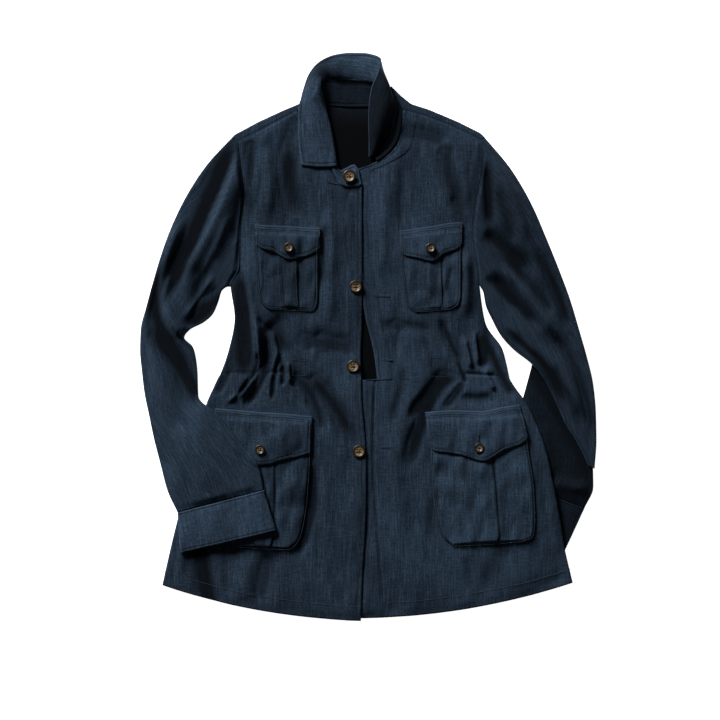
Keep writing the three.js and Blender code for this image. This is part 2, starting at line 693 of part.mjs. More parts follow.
// The back: its top line peaks at both neck points, and the shoulders fold over to the seams of the fronts.
function back() {
  const COLUMNS = 18;
  const CROWN = { from: BODY.length - 4, lines: 4 };
  const topX = TOP_LINE.map((row) => row.x);
  const topY = (x) => {
    const k = Math.min(topX.length - 2, Math.max(0, topX.filter((at) => at <= x).length - 1));
    const t = (x - topX[k]) / (topX[k + 1] - topX[k]);
    return TOP_LINE[k].y + (TOP_LINE[k + 1].y - TOP_LINE[k].y) * t;
  };
  const straight = BODY.map((r) => section(r.right_x, r.right_y, r.left_x, r.left_y, r.sag_back));
  straight.push(section(...RIGHT_TIP, ...LEFT_TIP));
  const sections = straight.map((at, row) => (s) => {
    const [x, y] = at(s);
    const share = Math.max(0, (row - CROWN.from) / CROWN.lines);
    const tip = straight.at(-1)(s);
    return [x, y + share * (topY(tip[0]) - tip[1])];
  });
  const net = lattice(sections, COLUMNS, BODY_PITCH);
  const bed = settle(net);
  const top = net.length - 1;
  const outer = net.map((line, i) => line.map(([x, y], j) => [x, y, bed[i][j]]));
  const inner = outer.map((line) => line.map(([x, y, z]) => [x, y, z + WALL]));
  const turned = (j) => net[top][j][0] <= RIGHT_NECK_X || net[top][j][0] >= LEFT_NECK_X;
  const seam = (j) => {
    const [x] = net[top][j];
    const r = BODY.at(-1);
    const right = x <= RIGHT_NECK_X;
    const [from, to] = right ? [RIGHT_TIP[0], RIGHT_NECK_X] : [LEFT_NECK_X, LEFT_TIP[0]];
    const at = right
      ? section(r.right_x, r.right_y, r.right_edge_x, r.right_edge_y)
      : section(r.left_edge_x, r.left_edge_y, r.left_x, r.left_y, r.sag_left);
    return at(Math.max(0, Math.min(1, (x - from) / (to - from))));
  };
  const rows = [
    { share: 0, inset: 0, outer: SHOULDER_FOLD / 2, inner: SHOULDER_FOLD / 2, in: WALL },
    { share: 0, inset: SHOULDER_ROUND, outer: SHOULDER_FOLD, inner: SHOULDER_FOLD - WALL, in: 0 },
    { share: 1, inset: -SEAM, outer: SHOULDER_FOLD, inner: SHOULDER_FOLD - WALL, in: 0 },
  ];
  const turnedPoint = (row, j, layer) => {
    const edge = net[top][j];
    const end = seam(j);
    const [from, to] = row.share ? [end, edge] : [edge, end];
    const [x, y] = toward(from, to, Math.abs(row.inset) + (layer === "inner" ? row.in : 0));
    return [x, y, row[layer]];
  };
  for (const row of rows) {
    outer.push(net[top].map((_, j) => turnedPoint(row, j, "outer")));
    inner.push(net[top].map((_, j) => turnedPoint(row, j, "inner")));
  }
  net[top].forEach(([x, y], j) => {
    if (!turned(j)) return;
    const [ex, ey] = toward([x, y], seam(j), SHOULDER_ROUND);
    outer[top][j] = [ex, ey, 0];
    inner[top][j] = [ex, ey, WALL];
  });
  return lay(wall("back", outer, inner, LINEN, (i, j) => i < top || (turned(j) && turned(j + 1))));
}

function fronts() {
  const COLUMNS = 15;
  const CROWD = 1.25;
  const right = BODY.map((r) => section(r.right_x, r.right_y, r.right_edge_x, r.right_edge_y, r.sag_right));
  const left = BODY.map((r) => section(r.left_x, r.left_y, r.left_edge_x, r.left_edge_y, -r.sag_left));
  const common = { columns: COLUMNS, crowd: CROWD, pitch: BODY_PITCH, loft: FRONT_LOFT };
  return [
    sheet("left_front", left, { ...common, folds: LEFT_FRONT_FOLDS }),
    sheet("right_front", right, { ...common, folds: RIGHT_FRONT_FOLDS }),
  ];
}

// A pocket with a box pleat down its middle; a bellows pocket stands off the front inside its sewn edge.
function pocket(name, rows, bellows) {
  const COLUMNS = 10;
  const PLEAT_SHARE = 0.14;
  const SIDE_SHARE = 0.035;
  const columns = Array.from({ length: COLUMNS + 1 }, (_, j) => j / COLUMNS);
  if (bellows) {
    columns[1] = SIDE_SHARE;
    columns[COLUMNS - 1] = 1 - SIDE_SHARE;
  }
  const eased = spans(rows).map((at) => (s) => at(columns[Math.round(s * COLUMNS)]));
  const last = rows.length - 1;
  const rise = (x, y, at, row, j) => {
    const s = columns[j];
    const pleat = Math.abs(s - 0.5) < PLEAT_SHARE ? PLEAT : 0;
    const rim = j === 0 || j === COLUMNS || row === 0 ? 0 : 1;
    const down = Math.min(1, (last - row) / (0.4 * last));
    return rim * (pleat + bellows * down);
  };
  return sheet(name, eased, { columns: COLUMNS, pitch: SMALL_PITCH, rise });
}

function flap(name, rows) {
  const options = { columns: 4, pitch: SMALL_PITCH, thick: DOUBLE, material: LINEN_LIT };
  return sheet(name, spans(rows), options);
}

// A sleeve and the cuff at its end are both settled before either is laid.
function rightSleeve() {
  const rows = [armhole("right_x", "right_y", RIGHT_TIP, -1), ...tubeSpans(RIGHT_SLEEVE, -1)];
  const folds = RIGHT_SLEEVE_FOLDS;
  const sleeve = tube("right_sleeve", rows, { loft: SLEEVE_LOFT, folds, from: RIGHT_SLEEVE_RESTS });
  const cuff = tube("right_cuff", tubeSpans(RIGHT_CUFF, 1), { thick: CUFF_WALL, loft: CUFF_LOFT, material: LINEN_LIT });
  return [joinTube(sleeve), joinTube(cuff)];
}

function leftForearm() {
  const folds = LEFT_FOREARM_FOLDS;
  const forearm = tube("left_forearm", tubeSpans(LEFT_FOREARM, 1), { loft: FOREARM_LOFT, folds });
  const cuff = tube("left_cuff", tubeSpans(LEFT_CUFF, 1), { thick: CUFF_WALL, loft: CUFF_LOFT, material: LINEN_LIT });
  return [joinTube(forearm), joinTube(cuff)];
}

function leftSleeve() {
  const rows = [armhole("left_x", "left_y", LEFT_TIP, 1), ...tubeSpans(LEFT_SLEEVE, 1)];
  const options = { loft: SLEEVE_LOFT, folds: LEFT_SLEEVE_FOLDS, from: LEFT_SLEEVE_RESTS };
  return joinTube(tube("left_sleeve", rows, options));
}

// The collar's band and leaf stand and roll over, so their walls lie half on each side of a middle surface.
function collar() {
  const columns = BAND_COLUMNS + LEAF_COLUMNS;
  const arc = (a, b, c, t) => (1 - t) * (1 - 2 * t) * a + 4 * t * (1 - t) * b + t * (2 * t - 1) * c;
  const sections = COLLAR.map((r) => (s) => {
    const k = s * columns;
    const t = Math.min(1, k / BAND_COLUMNS);
    const u = Math.max(0, (k - BAND_COLUMNS) / LEAF_COLUMNS);
    return ["x", "y", "z"].map((axis) => {
      const [neck, fold, mid, free] = ["neck_", "fold_", "mid_", "free_"].map((name) => r[name + axis]);
      return u > 0 ? arc(fold, mid, free, u) : neck + (fold - neck) * t;
    });
  });
  const net = lattice(sections, columns, SMALL_PITCH);
  const band = net.map((line) => Object.assign(line.slice(0, BAND_COLUMNS + 1), { row: line.row }));
  const leaf = net.filter((line) => line.row >= LEAF_STARTS).map((line) => {
    const part = line.slice(BAND_COLUMNS);
    part[0] = [...toward(part[0], part[1], DOUBLE / 2 + CLEAR), part[0][2]];
    return Object.assign(part, { row: line.row });
  });
  return [strip("collar_band", band), strip("collar_leaf", leaf)];
}

// A wall of two thicknesses about a lattice's own heights, which clear the pile.
function strip(name, net) {
  const bed = settle(net, 0, COLLAR_STEEPEST);
  const middle = net.map((line, i) =>
    line.map(([x, y, z], j) => new THREE.Vector3(x, y, Math.max(z, bed[i][j] + DOUBLE / 2))),
  );
  const last = net.length - 1;
  const half = middle.map((line, i) =>
    line.map((_, j) => {
      const ahead = middle[Math.min(last, i + 1)][j].clone().sub(middle[Math.max(0, i - 1)][j]);
      const across = line[Math.min(line.length - 1, j + 1)].clone().sub(line[Math.max(0, j - 1)]);
      return ahead.cross(across).setLength(DOUBLE / 2);
    }),
  );
  const side = (sign) =>
    middle.map((line, i) => line.map((point, j) => point.clone().addScaledVector(half[i][j], sign).toArray()));
  return lay(wall(name, side(-1), side(1), LINEN_LIT));
}

// A turned button: flat underside, rounded rim, and a dished middle.
function button({ name, x, y, across }) {
  const r = across / 2;
  const RIM = 0.16 * r;
  const UNDERSIDE = 0.8;
  const SEAT = 0.3;
  const points = [
    [0, 0],
    [UNDERSIDE * r, 0],
    [r, 0.4 * BUTTON_THICK],
    [r - RIM / 2, 0.9 * BUTTON_THICK],
    [r - 1.6 * RIM, BUTTON_THICK],
    [r - 2.6 * RIM, 0.72 * BUTTON_THICK],
    [0, 0.66 * BUTTON_THICK],
  ].map(([out, up]) => new THREE.Vector2(out, up));
  const turned = new THREE.LatheGeometry(points, BUTTON_SIDES);
  turned.rotateX(Math.PI / 2);
  turned.deleteAttribute("normal");
  turned.deleteAttribute("uv");
  const geometry = mergeVertices(turned, 1e-4);
  let top = 0;
  pile.forEach((height, cell) => {
    const cx = ((cell % ACROSS) + 0.5) * CELL - PILE_X;
    const cy = (Math.floor(cell / ACROSS) + 0.5) * CELL - PILE_Y;
    if (Math.hypot(cx - x, cy - y) < UNDERSIDE * r + CELL / 2) top = Math.max(top, height);
  });
  geometry.translate(x, y, top + SEAT);
  geometry.computeVertexNormals();
  const mesh = new THREE.Mesh(geometry, HORN);
  mesh.name = name;
  return lay(mesh);
}

// Laid in order, from the floor up
const jacket = new THREE.Group();
jacket.name = "utility_jacket";
jacket.add(...leftForearm());
jacket.add(back());
jacket.add(...fronts());
jacket.add(leftSleeve());
jacket.add(pocket("right_chest_pocket", RIGHT_CHEST_POCKET, 0));
jacket.add(pocket("left_chest_pocket", LEFT_CHEST_POCKET, 0));
jacket.add(pocket("right_hip_pocket", RIGHT_HIP_POCKET, BELLOWS));
jacket.add(pocket("left_hip_pocket", LEFT_HIP_POCKET, BELLOWS));
jacket.add(flap("right_chest_flap", RIGHT_CHEST_FLAP));
jacket.add(flap("left_chest_flap", LEFT_CHEST_FLAP));
jacket.add(flap("right_hip_flap", RIGHT_HIP_FLAP));
jacket.add(flap("left_hip_flap", LEFT_HIP_FLAP));
jacket.add(...collar());
jacket.add(...BUTTONS.map(button));
jacket.add(...rightSleeve());

export default jacket;
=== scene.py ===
"""A navy linen utility jacket lying on its back: the cloth, sewing and horn around its solids."""

import math

import bpy
import numpy as np
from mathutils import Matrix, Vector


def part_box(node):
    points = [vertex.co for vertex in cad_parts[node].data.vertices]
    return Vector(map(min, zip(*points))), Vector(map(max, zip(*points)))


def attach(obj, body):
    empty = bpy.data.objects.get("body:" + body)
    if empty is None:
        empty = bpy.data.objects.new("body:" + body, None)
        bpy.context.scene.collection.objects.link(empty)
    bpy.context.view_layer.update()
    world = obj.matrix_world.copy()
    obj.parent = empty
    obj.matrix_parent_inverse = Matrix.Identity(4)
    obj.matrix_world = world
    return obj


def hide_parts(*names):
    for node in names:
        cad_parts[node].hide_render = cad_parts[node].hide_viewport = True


bl_info = {
    "name": "Utility jacket",
    "version": (1, 0, 0),
    "blender": (4, 5, 0),
    "location": "3D View > Sidebar > Jacket",
    "description": "Cloth, sewing and buttons of a linen utility jacket laid flat",
    "category": "Add Mesh",
}

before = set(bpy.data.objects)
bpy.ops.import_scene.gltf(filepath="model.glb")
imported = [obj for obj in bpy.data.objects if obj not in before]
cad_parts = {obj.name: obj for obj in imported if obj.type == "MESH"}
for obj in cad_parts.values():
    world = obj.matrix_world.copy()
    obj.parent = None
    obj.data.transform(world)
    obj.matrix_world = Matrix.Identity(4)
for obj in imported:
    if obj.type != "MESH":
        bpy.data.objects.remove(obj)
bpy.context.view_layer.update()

# Lengths in the tables and in the arithmetic are millimetres, and meshes are metres
MM = 0.001
# Room for single cloth, for a cuff's side and for double cloth, and the gap to the cloth below
WALL = 1.3
CUFF_WALL = 1.7
DOUBLE = 2.0
CLEAR = 0.5
# Height of a shoulder that is turned over, and the lines across its flat part
SHOULDER_FOLD = 3.6
FLAT_LINES = 14
# How far an armhole lies outside the body's edge; below 0 it lies within, and no gap shows
SEAM = -0.1
# Height of a cuff and of the sleeve's end at it, and the radius of a tube's round sides
CUFF_HEIGHT = 5.2
TUBE_EDGE = 4.5
# Width and height of the placket along a front's edge, and how far a front's side is drawn out and down
PLACKET = 22
PLACKET_RISE = 0.9
SIDE_DRAW = 0.5
# Painted shade on the back's inner face: full up to the first height and gone from the second
BACK_SHADE_FULL_BELOW = 318
BACK_SHADE_GONE_ABOVE = 430
# Painted shade: share of the light taken out of a trough's colour for each mm of its depth, and the most that
# a piece loses
TROUGH_SHADE = 0.12
MOST_SHADE = 0.9
# Width of the painted highlight strip on a flap's upper edge, and the distance given to cloth far from any
# stitches
PAINTED_HIGHLIGHT_STRIP = 6
UNSTITCHED = 1e3
# Metres from an edge to its stitched groove, and the share of a stitch's pitch that its bead fills
EDGE_STITCH = 0.0035
BEAD_SHARE = 0.72
ALL_SIDES = ("a", "b", "low", "high")


def table(columns, rows):
    """Named columns of a table of numbers, as arrays."""
    return dict(zip(columns.split(), np.array(rows, float).T))


# Sections across the body from the hem up
BODY = table(
    "right_x right_y right_edge_x right_edge_y left_edge_x left_edge_y left_x left_y"
    " sag_right sag_left sag_back",
    [
        (-318, -385, -11, -439.5, -25, -436, 316, -381, 12, 14, 50),
        (-304, -323, -8, -365, -25, -370, 302, -323, 8, 9, 31),
        (-285, -246, -3, -284, -25, -284, 288, -241, 5, 6, 12),
        (-267, -168, -2, -204, -25, -204, 270, -165, 3, 3, 5),
        (-250, -105, -6, -136, -25, -133, 243, -102, 2, 2, 0),
        (-239, -80, -9, -102, -25, -98, 228, -81, 0, 0, 0),
        (-231, -63, -10, -71, -25, -68, 219, -67, 0, 0, 0),
        (-229, -60, -10, -67, 14, -66, 218, -64, 0, 0, 0),
        (-216, -24, -11, -29, 9, -26, 208, -21, 0, 0, 0),
        (-206, 29, -9, 26, -4, 29, 181, 22, 0, 0, 0),
        (-212, 77, -9, 75, -12, 75, 172, 80, 0, 0, 0),
        (-199, 109, -9, 122, -20, 115, 168, 115, 0, 0, 0),
        (-198, 165, -9, 173, -25, 168, 162, 162, 0, 0, 0),
        (-192, 221, -9, 232, -25, 218, 167, 208, 0, 0, 0),
        (-195, 249, -39, 236, -20, 255, 174, 243, 0, 0, 0),
        (-197, 264, -51, 257, 6, 267, 177, 264, 0, 0, 0),
        (-199, 280, -78, 297, 40, 292, 178, 280, 0, 0, 0),
        (-202, 298, -110, 348, 54, 350, 175, 300, 0, -5, 0),
    ],
)
ARMPIT_ROW = 10
RIGHT_TIP = (-207, 312)
LEFT_TIP = (181, 308)
TOP_LINE = table(
    "x y",
    [
        (-207, 312),
        (-170, 332),
        (-129, 351),
        (-101, 363),
        (-74, 357),
        (6, 357),
        (31, 382),
        (36, 388),
        (50, 374),
        (67, 360),
        (95, 351),
        (140, 332),
        (174, 315),
        (181, 308),
    ],
)
RIGHT_NECK_X = -101
LEFT_NECK_X = 36

SLEEVE_COLUMNS = "outer_x outer_y inner_x inner_y bow"
RIGHT_SLEEVE = table(
    SLEEVE_COLUMNS,
    [
        (-251, 264, -217, 77, 11),
        (-287, 207, -226, 71, 6),
        (-312, 150, -232, 53, 3),
        (-330, 94, -240, 35, 0),
        (-343, 47, -254, 22, 0),
        (-352, 10, -276, 10, 0),
        (-353, -21, -284, -2, 0),
        (-350, -55, -270, -18, 0),
        (-346, -88, -264, -52, 0),
        (-339, -122, -262, -92, 0),
        (-332, -156, -231, -120, 0),
        (-322, -195, -195, -164, 0),
        (-310, -238, -167, -201, 0),
        (-294, -272, -160, -236, 0),
    ],
)
LEFT_SLEEVE = table(
    SLEEVE_COLUMNS,
    [
        (222, 258, 178, 69, 11),
        (253, 205, 182, 48, 6),
        (277, 150, 192, 26, 3),
        (296, 103, 205, 2, 0),
        (313, 57, 226, -21, 0),
        (327, 10, 253, -43, 0),
        (339, -33, 273, -69, 0),
        (348, -75, 288, -98, 0),
        (352, -117, 305, -136, 0),
        (353, -160, 324, -167, 0),
        (350, -204, 341, -201, 0),
    ],
)
LEFT_FOREARM = table(
    SLEEVE_COLUMNS,
    [
        (333, -75, 256, -36, 0),
        (341, -106, 250, -58, 0),
        (344, -148, 240, -94, 0),
        (348, -188, 226, -136, 0),
        (349, -232, 212, -176, 0),
        (335, -266, 200, -213, 0),
    ],
)
RIGHT_CUFF = table(
    SLEEVE_COLUMNS,
    [
        (-294, -272, -160, -236, 0),
        (-292, -305, -150, -269, 0),
        (-290, -334, -141, -298, 0),
    ],
)
LEFT_CUFF = table(
    SLEEVE_COLUMNS,
    [
        (335, -266, 200, -213, 0),
        (319, -301, 188, -253, 0),
        (305, -331, 177, -291, 0),
    ],
)

# Pockets in sections from the bottom edge up, and flaps in sections from side to side, each from a to b
POCKET_ROWS = {
    "right_chest_pocket": [
        (-153, 43, -88, 39),
        (-164, 52, -79, 47),
        (-169, 69, -77, 64),
        (-172, 103, -77, 100),
        (-174, 156, -77, 153),
    ],
    "left_chest_pocket": [
        (73, 38, 127, 42),
        (60, 49, 140, 50),
        (57, 67, 143, 67),
        (53, 103, 143, 103),
        (50, 150, 144, 160),
    ],
    "right_hip_pocket": [
        (-198, -325, -124, -329),
        (-217, -315, -105, -314),
        (-225, -292, -98, -291),
        (-231, -238, -91, -238),
        (-236, -176, -88, -179),
        (-236, -129, -88, -136),
    ],
    "left_hip_pocket": [
        (130, -323, 239, -315),
        (113, -306, 256, -305),
        (105, -284, 258, -284),
        (99, -238, 256, -238),
        (96, -176, 248, -179),
        (95, -133, 240, -126),
    ],
}
FLAP_ROWS = {
    "right_chest_flap": [
        (-175, 173, -172, 143),
        (-164, 172, -164, 136),
        (-144, 171, -144, 130),
        (-122, 170, -122, 119),
        (-101, 169, -101, 123),
        (-82, 168, -82, 130),
        (-74, 168, -74, 137),
    ],
    "left_chest_flap": [
        (49, 164, 50, 131),
        (57, 164, 57, 125),
        (76, 167, 76, 121),
        (98, 170, 98, 116),
        (119, 174, 119, 128),
        (138, 176, 138, 136),
        (146, 177, 145, 145),
    ],
    "right_hip_flap": [
        (-236, -111, -239, -154),
        (-226, -112, -228, -168),
        (-198, -114, -198, -184),
        (-164, -117, -164, -198),
        (-129, -119, -129, -190),
        (-101, -122, -101, -183),
        (-86, -123, -88, -179),
    ],
    "left_hip_flap": [
        (88, -117, 94, -167),
        (99, -116, 102, -176),
        (135, -114, 138, -181),
        (174, -115, 177, -191),
        (205, -109, 209, -175),
        (225, -106, 236, -164),
        (233, -105, 246, -154),
    ],
}
POCKETS = {name: table("a_x a_y b_x b_y", rows) for name, rows in POCKET_ROWS.items()}
FLAPS = {name: table("a_x a_y b_x b_y", rows) for name, rows in FLAP_ROWS.items()}

# The collar from its buttoned end round the neck: neck seam, fold, middle and free edge of each section
COLLAR = table(
    "neck_x neck_y neck_z fold_x fold_y fold_z mid_x mid_y mid_z free_x free_y free_z",
    [
        (-10, 235, 1, -14, 257, 1, -74, 251, 10, -102, 254, 1),
        (-16, 232, 1, -22, 266, 1, -74, 252, 10, -102, 255, 1),
        (-28, 231, 1, -32, 262, 1, -74, 253, 10, -102, 256, 1),
        (-39, 233, 1, -42, 257, 1, -74, 255, 10, -102, 258, 1),
        (-52, 252, 1, -47, 262, 6, -74, 260, 10, -103, 263, 1),
        (-66, 281, 1, -50, 283, 6, -78, 284, 10, -106, 286, 1),
        (-86, 311, 1, -56, 318, 6, -82, 320, 10, -108, 320, 1),
        (-100, 334, 1, -64, 349, 8, -85, 351, 11, -108, 350, 1),
        (-104, 351, 1, -69, 371, 14, -87, 369, 13, -104, 367, 1),
        (-97, 359, 1, -73, 385, 19, -86, 387, 15, -99, 385, 1),
        (-80, 359, 1, -71, 396, 14, -82, 402, 13, -91, 406, 2),
        (-62, 357, 1, -60, 398, 6, -66, 412, 11, -75, 425, 2),
        (-45, 356, 1, -46, 397, 3, -47, 410, 9, -51, 436, 2),
        (-28, 355, 1, -28, 396, 2, -28, 409, 8, -29, 439, 2),
        (-10, 355, 1, -9, 394, 2, -9, 406, 7, -9, 439, 2),
        (8, 355, 1, 9, 391, 2, 9, 403, 8, 8, 436, 3),
        (29, 358, 1, 25, 387, 5, 24, 400, 13, 19, 429, 9),
        (46, 358, 1, 36, 375, 12, 29, 392, 19, 17, 412, 12),
        (52, 346, 1, 38, 356, 13, 25, 370, 21, 6, 384, 10),
        (51, 326, 1, 34, 336, 12, 19, 346, 21, 2, 357, 8),
        (46, 305, 1, 28, 315, 10, 15, 321, 19, 1, 329, 7),
        (33, 286, 1, 19, 294, 7, 11, 298, 14, 2, 301, 5),
        (14, 271, 1, 9, 278, 4, 6, 279, 8, 2, 277, 4),
    ],
)
# Its rows: the leaf's first one, where painted shade starts on the stand, the turn at the back with its
# painted shade, its width, and the far side, which has painted shade
LEAF_STARTS = 4
STAND_ROW = 9
TURN_ROW = 10.7
TURN_WIDTH = 1.6
FAR_ROW = 16.2

# Folds: x and y of an arc's start, middle and end, the width and height of its bell, and how far that leans
RIGHT_SLEEVE_FOLDS = [
    (-190, 240, -200, 190, -210, 138, 7, -2.5, 0),
    (-246, 120, -262, 70, -250, 28, 12, -4, 0),
    (-196, 292, -240, 170, -306, 85, 11, 7, -0.45),
    (-290, 112, -311, 45, -264, -20, 9, 7, -0.4),
    (-287, 193, -316, 115, -338, 22, 12, 5, 0),
    (-200, 324, -256, 184, -326, 26, 13, -10, 0.3),
    (-316, 120, -326, 34, -272, -52, 10, -8, 0.35),
    (-338, 18, -290, -42, -256, -114, 13, -9, 0.2),
    (-346, -14, -318, -72, -276, -150, 9, 3, 0),
    (-212, 196, -226, 150, -240, 118, 7, 2, 0),
    (-216, 78, -250, 40, -284, 8, 12, -7, 0),
    (-298, -129, -267, -184, -239, -241, 18, 3, 0),
    (-236, 96, -262, 60, -284, 24, 4, 2.5, 0),
    (-214, 190, -240, 128, -272, 76, 5, 1.5, 0),
    (-335, 60, -339, 22, -334, -12, 5, -1.5, 0),
    (-281, -150, -262, -196, -232, -230, 4, -1.2, 0),
    (-256, -146, -232, -186, -206, -214, 4, -1, 0),
    (-304, -160, -285, -206, -268, -246, 5, -1.2, 0),
    (-231, -132, -215, -160, -192, -184, 4, 1, 0),
]
LEFT_SLEEVE_FOLDS = [
    (198, 236, 214, 186, 228, 140, 9, -4, 0),
    (252, 150, 290, 72, 308, 6, 8, -5, 0),
    (184, 286, 223, 212, 251, 142, 10, 5, 0),
    (181, 280, 187, 218, 189, 160, 8, -6, 0),
    (178, 164, 212, 138, 266, 92, 14, -6, 0),
    (205, 115, 251, 57, 298, -13, 8, 7, 0.3),
    (197, 134, 259, 72, 285, 33, 7, -4, 0),
    (190, 104, 226, 58, 270, 8, 9, -6, 0),
    (180, 94, 205, 71, 236, 40, 6, -3, 0),
    (196, 14, 266, -38, 306, -122, 9, -6, 0),
    (222, 8, 296, -66, 326, -130, 7, 4, 0),
    (286, 22, 334, -86, 348, -168, 9, -4, 0),
    (285, -40, 307, -86, 335, -154, 7, -3, 0),
    (186, 150, 214, 116, 240, 92, 4, 1.6, 0),
    (214, 238, 236, 196, 252, 150, 4, -1.2, 0),
    (246, 184, 266, 140, 282, 92, 5, 1.4, 0),
    (280, 108, 300, 60, 312, 16, 4, -1.4, 0),
    (212, 22, 240, -8, 262, -30, 4, 1.8, 0),
    (300, -64, 322, -100, 338, -134, 4, 1.5, 0),
]
LEFT_FOREARM_FOLDS = [
    (279, -219, 316, -233, 344, -229, 9, 4, 0),
    (267, -129, 274, -176, 285, -222, 10, 2.5, 0),
    (222, 10, 306, -114, 366, -236, 13, -6, 0),
]
RIGHT_FRONT_FOLDS = [
    (-240, -58, -190, -54, -110, -56, 2.2, -3, 0),
    (-192, 60, -190, 0, -194, -70, 9, -7, 0.3),
    (-172, -22, -178, -58, -216, -108, 3, -7, 0),
    (-180, -60, -190, -82, -224, -104, 4, 5, 0),
    (-153, -42, -173, -82, -194, -110, 5, -7, 0),
    (-161, 2, -161, -28, -162, -64, 6, -6, 0),
    (-177, 34, -167, -16, -173, -54, 4, 6, -0.3),
    (-153, 14, -141, -22, -147, -70, 4, 6, 0),
    (-137, -26, -145, -66, -148, -102, 3, -8, 0),
    (-132, -44, -131, -60, -132, -78, 2.5, -7, 0),
    (-124, -36, -122, -54, -119, -76, 3.5, 5, 0),
    (-210, -30, -222, -66, -236, -92, 5, -5, 0),
    (-194, 124, -180, 40, -168, -46, 7, 6, -0.4),
    (-202, 116, -190, 22, -186, -66, 13, -9, 0.3),
    (-182, 310, -182, 240, -180, 168, 8, -3, 0),
    (-122, 300, -118, 240, -112, 182, 12, -6, 0),
    (-116, -6, -62, -10, -12, -20, 14, -5, 0),
    (-160, 20, -140, 0, -122, -30, 12, -4, 0),
    (-122, -52, -86, -96, -68, -156, 8, -6, 0),
    (-98, -58, -54, -104, -16, -172, 11, -7, 0),
    (-104, -66, -70, -110, -44, -176, 7, 3, 0),
    (-136, 41, -135, 7, -135, -24, 10, -3, 0),
    (-110, 342, -126, 281, -132, 193, 9, -3, 0),
    (-180, 308, -183, 274, -188, 227, 7, -3, 0),
    (-158, 297, -153, 239, -155, 177, 9, 3, 0),
    (-59, 219, -57, 111, -59, 2, 10, 3.5, 0),
    (-66, 176, -68, 128, -72, 60, 6, -4, 0),
    (-26, 232, -26, 165, -24, 100, 6, -4, 0),
    (-266, -296, -256, -364, -236, -452, 15, -9, 0),
    (-152, -330, -160, -368, -170, -418, 13, -4, 0),
    (-84, -190, -86, -270, -112, -350, 10, -5, 0.3),
    (-198, -334, -191, -377, -186, -415, 12, 2, 0),
    (-71, -191, -64, -315, -62, -421, 15, 2, 0),
    (-112, -64, -104, -84, -92, -106, 4, 2.4, 0),
    (-90, 40, -84, 0, -80, -44, 5, 1.2, 0),
    (-176, 196, -168, 222, -162, 262, 4, -1.2, 0),
    (-100, 238, -96, 210, -100, 178, 5, -1.2, 0),
    (-172, 30, -158, 16, -140, 8, 4, -1.6, 0),
    (-48, -60, -40, -130, -34, -200, 5, 1.4, 0),
    (-84, -216, -76, -300, -80, -372, 6, -1.2, 0),
    (-280, -300, -286, -334, -290, -372, 6, 1.6, 0),
    (-226, -340, -220, -372, -214, -404, 6, -1.4, 0),
]
LEFT_FRONT_FOLDS = [
    (112, -55, 165, -58, 226, -62, 2.2, -3, 0),
    (12, -40, 8, -190, 15, -310, 1.6, -3, 0),
    (10, -230, 17, -330, 27, -450, 1.6, -3, 0),
    (112, 30, 127, -8, 145, -42, 6, -7, 0),
    (136, -34, 144, -54, 152, -74, 3.5, -8, 0),
    (148, 2, 154, -26, 160, -52, 4, 6, 0),
    (172, 8, 178, -22, 181, -50, 6, -9, 0),
    (164, 10, 168, -20, 171, -46, 3.5, 5, 0),
    (178, 10, 204, -54, 228, -96, 7, -8, 0),
    (146, -60, 96, -86, 60, -136, 7, -7, 0),
    (150, -70, 134, -92, 116, -114, 5, -6, 0),
    (134, -90, 168, -97, 198, -90, 8, -4, 0),
    (178, -48, 187, -67, 196, -86, 4, 5, 0),
    (196, -16, 214, -48, 222, -66, 4, 4, 0),
    (112, 26, 132, -10, 144, -46, 6, 4, 0),
    (124, -61, 82, -137, 57, -215, 9, -4, 0),
    (57, -44, 50, -91, 34, -145, 8, -3, 0),
    (42, 318, 84, 312, 128, 300, 12, -4, 0),
    (176, 96, 180, 40, 184, -20, 7, -6, 0),
    (128, -50, 92, -104, 60, -220, 11, -5, 0),
    (122, 300, 126, 254, 152, 186, 12, -5, 0),
    (14, 14, 60, 16, 104, 4, 8, -3, 0),
    (127, 219, 143, 193, 158, 162, 8, -2.5, 0),
    (146, 134, 152, 80, 147, 22, 9, 4, 0),
    (51, 274, 53, 219, 50, 165, 7, -2, 0),
    (26, 250, 25, 173, 23, 88, 10, 2.5, 0),
    (50, -222, 54, -315, 65, -415, 15, 2, 0),
    (274, -160, 287, -261, 301, -362, 10, 3, 0),
    (260, -160, 270, -222, 276, -300, 7, -2, 0),
    (74, 20, 86, -16, 96, -48, 5, 1.4, 0),
    (40, 60, 46, 10, 44, -40, 6, -1.2, 0),
    (96, -204, 88, -280, 84, -380, 8, 1.4, 0),
    (150, -336, 158, -366, 160, -400, 7, -1.2, 0),
    (218, -332, 226, -360, 236, -392, 7, 1.4, 0),
    (148, 272, 152, 236, 150, 196, 5, 1.2, 0),
]
BACK_FOLDS = [
    (-150, 296, -140, 200, -160, 90, 10, 2.0, 0),
    (120, 286, 108, 190, 130, 80, 12, 1.8, 0),
    (-40, 236, -30, 140, -48, 30, 14, 1.6, 0),
    (60, 230, 70, 130, 56, 30, 9, 1.5, 0),
    (-170, 30, -176, -20, -190, -80, 6, 2.2, 0),
    (-120, 20, -124, -30, -130, -90, 6, 2.0, 0),
    (-70, 10, -72, -40, -84, -100, 7, 1.6, 0),
    (80, 16, 84, -36, 92, -96, 7, 2.0, 0),
    (130, 20, 138, -30, 150, -88, 6, 2.2, 0),
    (-236, -150, -252, -250, -258, -340, 14, 2.0, 0),
    (-110, -130, -130, -240, -126, -370, 12, 1.6, 0),
    (30, -120, 18, -230, 30, -390, 16, 1.8, 0),
    (150, -140, 166, -250, 172, -350, 12, 1.6, 0),
    (240, -160, 250, -250, 262, -330, 10, 1.8, 0),
]

# Each button's middle and width
BUTTONS = {
    "front_button_1": (-29, 247, 20),
    "front_button_2": (-19, 77, 20),
    "front_button_3": (-23, -46, 20),
    "front_button_4": (-14, -177, 20),
    "right_chest_button": (-122, 137, 15),
    "left_chest_button": (96, 136, 15),
    "right_hip_button": (-166, -174, 15),
    "left_hip_button": (170, -171, 15),
}
